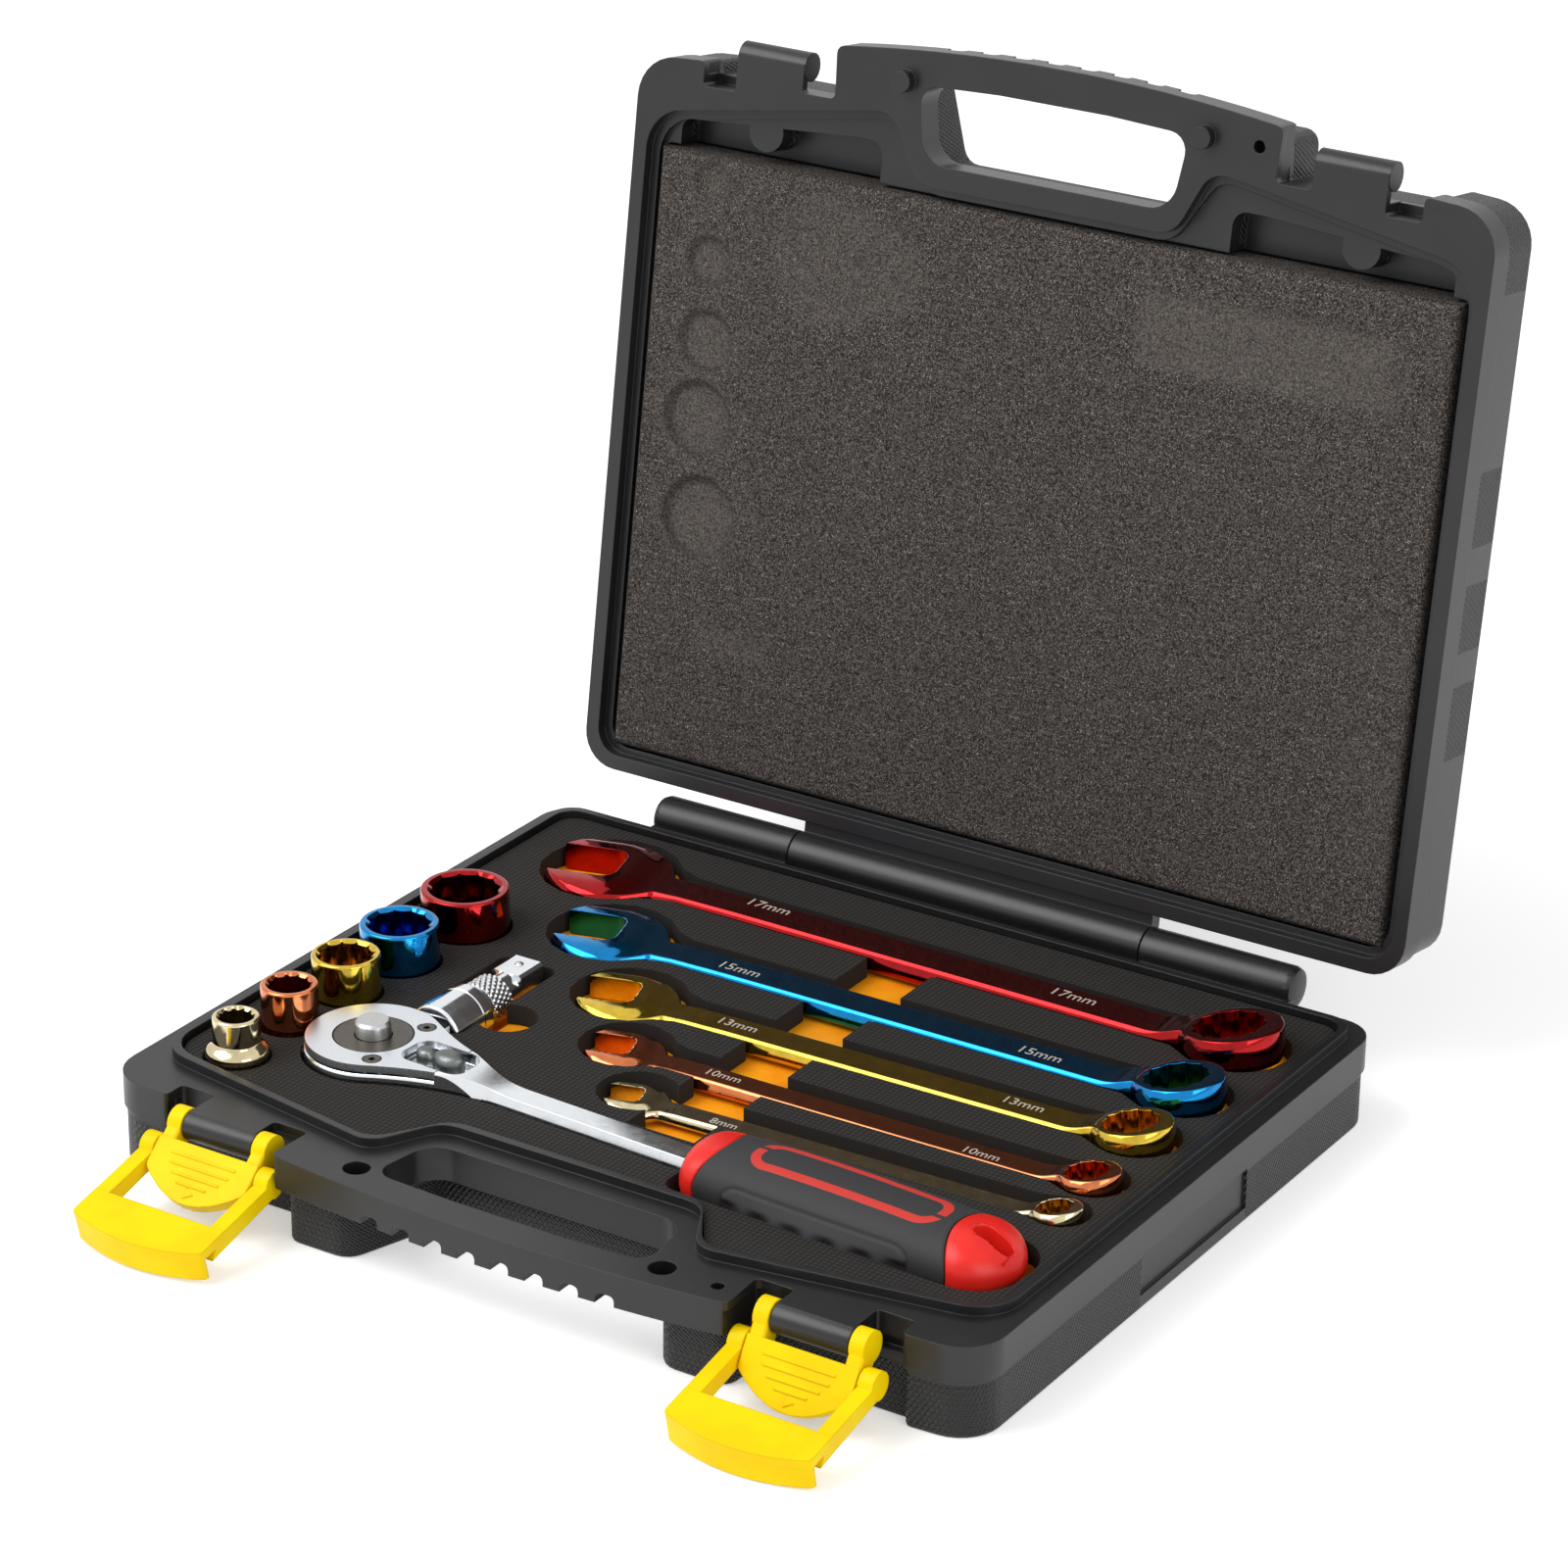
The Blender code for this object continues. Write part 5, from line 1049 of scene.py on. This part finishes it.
    def lever(self):
        """Reverse lever: a small round hub and a larger thumb pad with a waist between them."""
        rings = []
        start, end = LEVER_X - 2.7 * MM, LEVER_X + 11.7 * MM
        for k in range(61):
            x = (start + end) / 2 - (end - start) / 2 * math.cos(math.pi * k / 60) * 0.999
            hub = math.sqrt(max((2.7 * MM) ** 2 - (x - LEVER_X) ** 2, 0))
            u = (x - LEVER_X - 7.3 * MM) / (4.4 * MM)
            pad = 3.6 * MM * math.sqrt(max(1 - u ** 2, 0))
            waist = 2.1 * MM if LEVER_X < x < LEVER_X + 7 * MM else 0
            wide = max(hub, pad, waist, 0.15 * MM)
            hub_rise = 1.5 * MM * math.sqrt(max(hub, 0) / (2.7 * MM))
            pad_rise = 2.3 * MM * math.sqrt(max(pad, 0) / (3.6 * MM))
            rise = max(hub_rise, pad_rise)
            high = 5.1 * MM + (rise if max(hub, pad) > 0.4 * MM else 0)
            points = []
            for j in range(24):
                a = math.tau * j / 24
                c, n = math.cos(a), math.sin(a)
                y = wide * math.copysign(abs(c) ** 0.7, c)
                z = 4.2 * MM + (high - 4.2 * MM) * n if n > 0 else 4.2 * MM + 1.6 * MM * max(-1, 3 * n)
                points.append(Vector((x, y, z)))
            rings.append(points)
        return loft(rings)

    def execute(self, context):
        edge = context.scene.wrench_set_sizes.metal_edge
        chrome = steel_look("polished_chrome", tint(234, 237, 240), 0.15, 0.4, worn=0.12)
        frosted = steel_look("frosted_chrome", tint(226, 230, 234), 0.3, 3.0, worn=0.2)
        dark = steel_look("blackened_steel", tint(104, 100, 94), 0.36, edge=0.2 * MM)
        satin = steel_look("satin_button_steel", tint(205, 205, 205), 0.3, edge=0.5 * MM)
        pewter = steel_look("cast_lever_metal", tint(120, 124, 123), 0.38)
        body = cut(self.body(), self.recess(2.2 * MM))
        body = soften(cut(body, self.post(11.6 * MM, 0, 0, -3.5 * MM, 9 * MM)), edge, 2, 24)
        shaped(body, "ratchet_forging", chrome, "ratchet", "chrome", "ratchet_body", place=RATCHET, crease=22)
        plate = cut(self.plate(), self.recess(0))
        plate = cut(plate, self.post(DISC_R + 0.3 * MM, 0, 0, 0, 9 * MM))
        for side in (-1, 1):
            plate = cut(plate, self.post(2.5 * MM, SCREW_AT[0], side * SCREW_AT[1], 0, 9 * MM, 40))
        plate = soften(plate, 0.22 * MM, 2, 50)
        shaped(plate, "ratchet_plate", frosted, "ratchet", "chrome", "ratchet_cover_plate", place=RATCHET)
        shaped(self.lever(), "lever_casting", pewter, "reverse_lever", "pewter", "reverse_lever",
               place=RATCHET, crease=60)
        rows = [
            ("cover_screw_back", "ratchet", "dark_steel", dark),
            ("cover_screw_front", "ratchet", "dark_steel", dark),
            ("drive_gear", "drive_gear", "dark_steel", dark),
            ("drive_detent_ball", "drive_gear", "satin_steel", satin),
            ("release_button", "release_button", "satin_steel", satin),
            ("pawl", "reverse_lever", "dark_steel", dark),
        ]
        for node, body, slot, look in rows:
            shaped(from_frame(node), node + "_finished", look, body, slot, node)
        return {"FINISHED"}


class WRENCHSET_OT_grip(bpy.types.Operator):
    """Two-colour grip with a scalloped finger panel"""

    bl_idname = "wrench_set.grip"
    bl_label = "Grip"

    WIDTHS = (12.6, 13.2, 13.7, 13.9, 13.9, 13.7, 13.4, 13.2)
    COUNT = 176

    def ring(self, x, half, carve=None, lean=0.0):
        """A flattened round section at x, its sides leaning along the grip."""
        points = []
        for k in range(self.COUNT):
            a = math.tau * k / self.COUNT
            c, n = math.cos(a), math.sin(a)
            power = 2.3
            r = half / (abs(c) ** power + abs(n) ** power) ** (1 / power)
            at = x + lean * abs(c) ** 2
            if carve:
                r -= carve(at, math.degrees(a))
            points.append(Vector((at, r * c, GRIP_Z + GRIP_FLAT * r * n)))
        return points

    def carve(self, x, angle):
        """Side panels that stand out, inside a fine groove, with finger scallops low down."""
        side = angle if angle <= 90 else (180 - angle if angle <= 270 else angle - 360)
        u = 1000 * (x - (SLEEVE_START + SLEEVE_END) / 2)
        v = side * 0.24
        du, dv = abs(u) - 22.0, abs(v + 3.0) - 4.5
        reach = math.hypot(max(du, 0), max(dv, 0)) + min(max(du, dv), 0) - 5.0
        groove = 0.45 * MM * math.exp(-(reach / 0.5) ** 2)
        inside = 1 - smooth((reach + 0.6) / 1.4)
        swell = 1.9 * MM * math.cos(math.pi * min(abs(u) / 62, 0.5)) * smooth((6.0 - v) / 8.0)
        wave = 0.5 + 0.5 * math.cos(math.tau * u / 10.0)
        low = 1 - smooth((v + 1.0) / 3.5)
        return groove - inside * (0.25 * MM + swell - 1.5 * MM * (1 - wave) * low)

    def execute(self, context):
        steps = 160
        rows = []
        start, end = SLEEVE_START + 0.5 * MM, SLEEVE_END - 0.5 * MM
        for k in range(steps + 1):
            share = k / steps
            u = share * (len(self.WIDTHS) - 1)
            i = min(int(u), len(self.WIDTHS) - 2)
            half = (self.WIDTHS[i] + (self.WIDTHS[i + 1] - self.WIDTHS[i]) * smooth(u - i)) * MM
            lean = (-3.0 + 7.5 * share) * MM
            rows.append(self.ring(start + (end - start) * share, half, self.carve, lean))
        inner = 9.2 * MM
        first, last = (-3.0 * MM, 4.5 * MM)
        rows = ([self.ring(start, inner, lean=first), self.ring(start, 12.3 * MM, lean=first)] + rows[1:-1]
                + [self.ring(end, 12.9 * MM, lean=last), self.ring(end, inner, lean=last)])
        shaped(loft(rows, closed=True), "grip_rubber", grip_black_look(), "ratchet", "black_rubber",
               "grip_sleeve", place=RATCHET)
        red_end, red_start = SLEEVE_START + 0.35 * MM, SLEEVE_END - 0.35 * MM
        length = GRIP_END - red_start
        rows = [self.ring(GRIP_START, 8.4 * MM), self.ring(GRIP_START + 0.15 * MM, 9.4 * MM),
                self.ring(GRIP_START + 0.6 * MM, 10.3 * MM), self.ring(GRIP_START + 1.6 * MM, 11.1 * MM),
                self.ring(GRIP_START + 3.0 * MM, 11.8 * MM, lean=-0.6 * MM),
                self.ring(GRIP_START + 5.0 * MM, 12.2 * MM, lean=-1.5 * MM),
                self.ring(red_end, 12.55 * MM, lean=first),
                self.ring(red_end + 0.1 * MM, 8.8 * MM, lean=first),
                self.ring(red_start - 0.1 * MM, 8.8 * MM, lean=last),
                self.ring(red_start, CAP_R, lean=last)]
        for k in range(1, 29):
            a = math.radians(88 * k / 28)
            x = red_start + length * (0.12 + 0.88 * math.sin(a))
            rows.append(self.ring(x, CAP_R * math.cos(a) ** 1.25, lean=last * (1 - k / 28) ** 2))
        bm = loft(rows)
        outline = []
        end = GRIP_END - 5.2 * MM
        for centre, start in ((end, -90), (end - 5 * MM, 90)):
            for k in range(13):
                a = math.radians(start + 180 * k / 12)
                outline.append((centre + 2.7 * MM * math.cos(a), 2.7 * MM * math.sin(a)))
        slot = loft([[Vector((x, y, z)) for x, y in outline] for z in (-15 * MM, 15 * MM)])
        bm = soften(cut(bm, slot), 0.9 * MM, 4, 50)
        shaped(bm, "grip_red_moulding", grip_red_look(), "ratchet", "red_plastic", "grip_core", place=RATCHET)
        return {"FINISHED"}


class WRENCHSET_OT_extension(bpy.types.Operator):
    """Extension bar with its knurled collar and detent ball"""

    bl_idname = "wrench_set.extension"
    bl_label = "Extension bar"

    COUNT = 192

    def execute(self, context):
        chrome = bpy.data.materials["polished_chrome"]

        def knurl(radius, z, pitch, depth):
            def at(a):
                one = abs(math.sin(12 * a + z / pitch))
                two = abs(math.sin(12 * a - z / pitch))
                return radius - depth + depth * min(1.0, 1.6 * one * two)
            return at
        half = SQUARE / 2
        rows = [(square_radius(half + SQUARE_CLEAR), 11 * MM), (square_radius(half + SQUARE_CLEAR), 0.5 * MM),
                (square_radius(half + 0.6 * MM), 0),
                (7.2 * MM, 0), (7.7 * MM, 0.25 * MM), (8.0 * MM, 0.9 * MM),
                (8.0 * MM, 11.5 * MM), (7.75 * MM, 11.7 * MM), (7.75 * MM, 12.2 * MM), (8.0 * MM, 12.4 * MM),
                (8.0 * MM, 15.6 * MM), (7.6 * MM, 16.3 * MM), (5.6 * MM, 16.9 * MM), (5.4 * MM, 18.2 * MM),
                (6.3 * MM, 18.6 * MM)]
        for k in range(33):
            z = 18.8 * MM + 7.6 * MM * k / 32
            rows.append((knurl(6.6 * MM, z, 0.85 * MM, 0.35 * MM), z))
        rows += [(6.2 * MM, 26.7 * MM), (4.9 * MM, 27.2 * MM), (4.7 * MM, 32.2 * MM)]
        tip = 32.5 * MM
        rows += [(square_radius(half, 0.93), tip), (square_radius(half, 0.93), tip + EXT_TIP - 0.8 * MM),
                 (square_radius(half - 0.7 * MM, 0.93), tip + EXT_TIP)]
        bm = loft([round_ring(self.COUNT, r, z) for r, z in rows])
        where = CASE @ Matrix.Translation(EXT_PLACE) @ Matrix.Rotation(math.radians(-90), 4, "X")
        shaped(bm, "extension_bar_finished", chrome, "extension_bar", "chrome", "extension_bar", place=where)
        bm = from_frame("extension_detent_ball")
        shaped(bm, "extension_ball_finished", bpy.data.materials["satin_button_steel"], "extension_bar",
               "satin_steel", "extension_detent_ball")
        return {"FINISHED"}


class WRENCHSET_OT_stage(bpy.types.Operator):
    """Pale floor, soft light and the camera"""

    bl_idname = "wrench_set.stage"
    bl_label = "Stage"

    def floor(self):
        bm = bmesh.new()
        bmesh.ops.create_grid(bm, x_segments=1, y_segments=1, size=6.0)
        mesh = bpy.data.meshes.new("floor")
        bm.to_mesh(mesh)
        bm.free()
        floor = bpy.data.objects.new("floor", mesh)
        bpy.context.scene.collection.objects.link(floor)
        g = Graph("pale_floor", (0.93, 0.93, 0.93), 0.9, specular_ior_level=0.1)
        path = g.add("LightPath", {})
        seen = g.math("MAXIMUM", path.outputs["Is Camera Ray"],
                      g.math("MAXIMUM", path.outputs["Is Glossy Ray"], path.outputs["Is Transmission Ray"]))
        glow = g.add("Emission", {"Color": (1, 1, 1, 1), "Strength": g.math("MULTIPLY", seen, 0.42)})
        both = g.add("AddShader", {0: g.shader.outputs[0], 1: glow.outputs[0]})
        g.links.new(both.outputs[0], g.nodes["Material Output"].inputs["Surface"])
        mesh.materials.append(g.material)

    def world(self):
        world = bpy.data.worlds.new("soft_room")
        bpy.context.scene.world = world
        world.use_nodes = True
        nodes, links = world.node_tree.nodes, world.node_tree.links
        path = nodes.new("ShaderNodeLightPath")
        first = nodes.new("ShaderNodeMath")
        first.operation = "MAXIMUM"
        links.new(path.outputs["Is Camera Ray"], first.inputs[0])
        links.new(path.outputs["Is Glossy Ray"], first.inputs[1])
        seen = nodes.new("ShaderNodeMath")
        seen.operation = "MAXIMUM"
        links.new(first.outputs[0], seen.inputs[0])
        links.new(path.outputs["Is Transmission Ray"], seen.inputs[1])
        level = nodes.new("ShaderNodeMapRange")
        level.inputs["To Min"].default_value = 0.55
        level.inputs["To Max"].default_value = 1.0
        links.new(seen.outputs[0], level.inputs["Value"])
        links.new(level.outputs[0], nodes["Background"].inputs["Strength"])
        nodes["Background"].inputs["Color"].default_value = (1, 1, 1, 1)

    def lamp(self, name, place, aim, size, power):
        light = bpy.data.lights.new(name, "AREA")
        light.shape = "RECTANGLE"
        light.size, light.size_y = size
        light.energy = power
        obj = bpy.data.objects.new(name, light)
        bpy.context.scene.collection.objects.link(obj)
        obj.location = place
        obj.rotation_euler = (Vector(aim) - Vector(place)).to_track_quat("-Z", "Y").to_euler()

    def camera(self):
        azimuth, elevation, roll = math.radians(32.41), math.radians(23.79), math.radians(0.625)
        target = CASE @ Vector((-83.924 * MM, 250.584 * MM, 0))
        back = Vector((math.sin(azimuth) * math.cos(elevation), -math.cos(azimuth) * math.cos(elevation),
                       math.sin(elevation)))
        right = (-back).cross(Vector((0, 0, 1))).normalized()
        up = right.cross(-back)
        side = math.cos(roll) * right + math.sin(roll) * up
        top = -math.sin(roll) * right + math.cos(roll) * up
        lens = bpy.data.cameras.new("camera")
        lens.sensor_width = 36.0
        lens.lens = 120.06
        lens.clip_start = 0.05
        obj = bpy.data.objects.new("camera", lens)
        bpy.context.scene.collection.objects.link(obj)
        obj.matrix_world = Matrix.Translation(target + 1.49434 * back) @ Matrix(
            (side, top, back)).transposed().to_4x4()
        bpy.context.scene.camera = obj

    def execute(self, context):
        stage = context.scene.wrench_set_stage
        context.scene.view_settings.view_transform = "Standard"
        self.floor()
        self.world()
        self.lamp("key_light", (-0.7, -0.7, 1.25), (0, 0, 0.05), (1.1, 1.1), stage.key_power)
        self.lamp("side_light", (1.2, -0.5, 0.7), (0, 0, 0.05), (0.8, 0.8), stage.fill_power)
        self.camera()
        return {"FINISHED"}


STEPS = (
    WRENCHSET_OT_case, WRENCHSET_OT_tray, WRENCHSET_OT_pad, WRENCHSET_OT_latches, WRENCHSET_OT_sockets,
    WRENCHSET_OT_spanners, WRENCHSET_OT_ratchet, WRENCHSET_OT_grip, WRENCHSET_OT_extension,
    WRENCHSET_OT_stage,
)


class WRENCHSET_PT_panel(bpy.types.Panel):
    """Lists the settings and steps of the wrench set"""

    bl_idname = "WRENCHSET_PT_panel"
    bl_label = "Wrench Set"
    bl_space_type = "VIEW_3D"
    bl_region_type = "UI"
    bl_category = "Wrench Set"

    def draw(self, context):
        for group in (context.scene.wrench_set_sizes, context.scene.wrench_set_colours,
                      context.scene.wrench_set_stage):
            for name in group.__annotations__:
                self.layout.prop(group, name)
        for step in STEPS:
            self.layout.operator(step.bl_idname)


CLASSES = (WrenchSetSizes, WrenchSetColours, WrenchSetStage, *STEPS, WRENCHSET_PT_panel)


def register():
    for cls in CLASSES:
        bpy.utils.register_class(cls)
    bpy.types.Scene.wrench_set_sizes = bpy.props.PointerProperty(type=WrenchSetSizes)
    bpy.types.Scene.wrench_set_colours = bpy.props.PointerProperty(type=WrenchSetColours)
    bpy.types.Scene.wrench_set_stage = bpy.props.PointerProperty(type=WrenchSetStage)


def unregister():
    del bpy.types.Scene.wrench_set_stage
    del bpy.types.Scene.wrench_set_colours
    del bpy.types.Scene.wrench_set_sizes
    for cls in reversed(CLASSES):
        bpy.utils.unregister_class(cls)


def main():
    register()
    for step in STEPS:
        group, name = step.bl_idname.split(".")
        getattr(getattr(bpy.ops, group), name)()


if __name__ == "__main__":
    main()
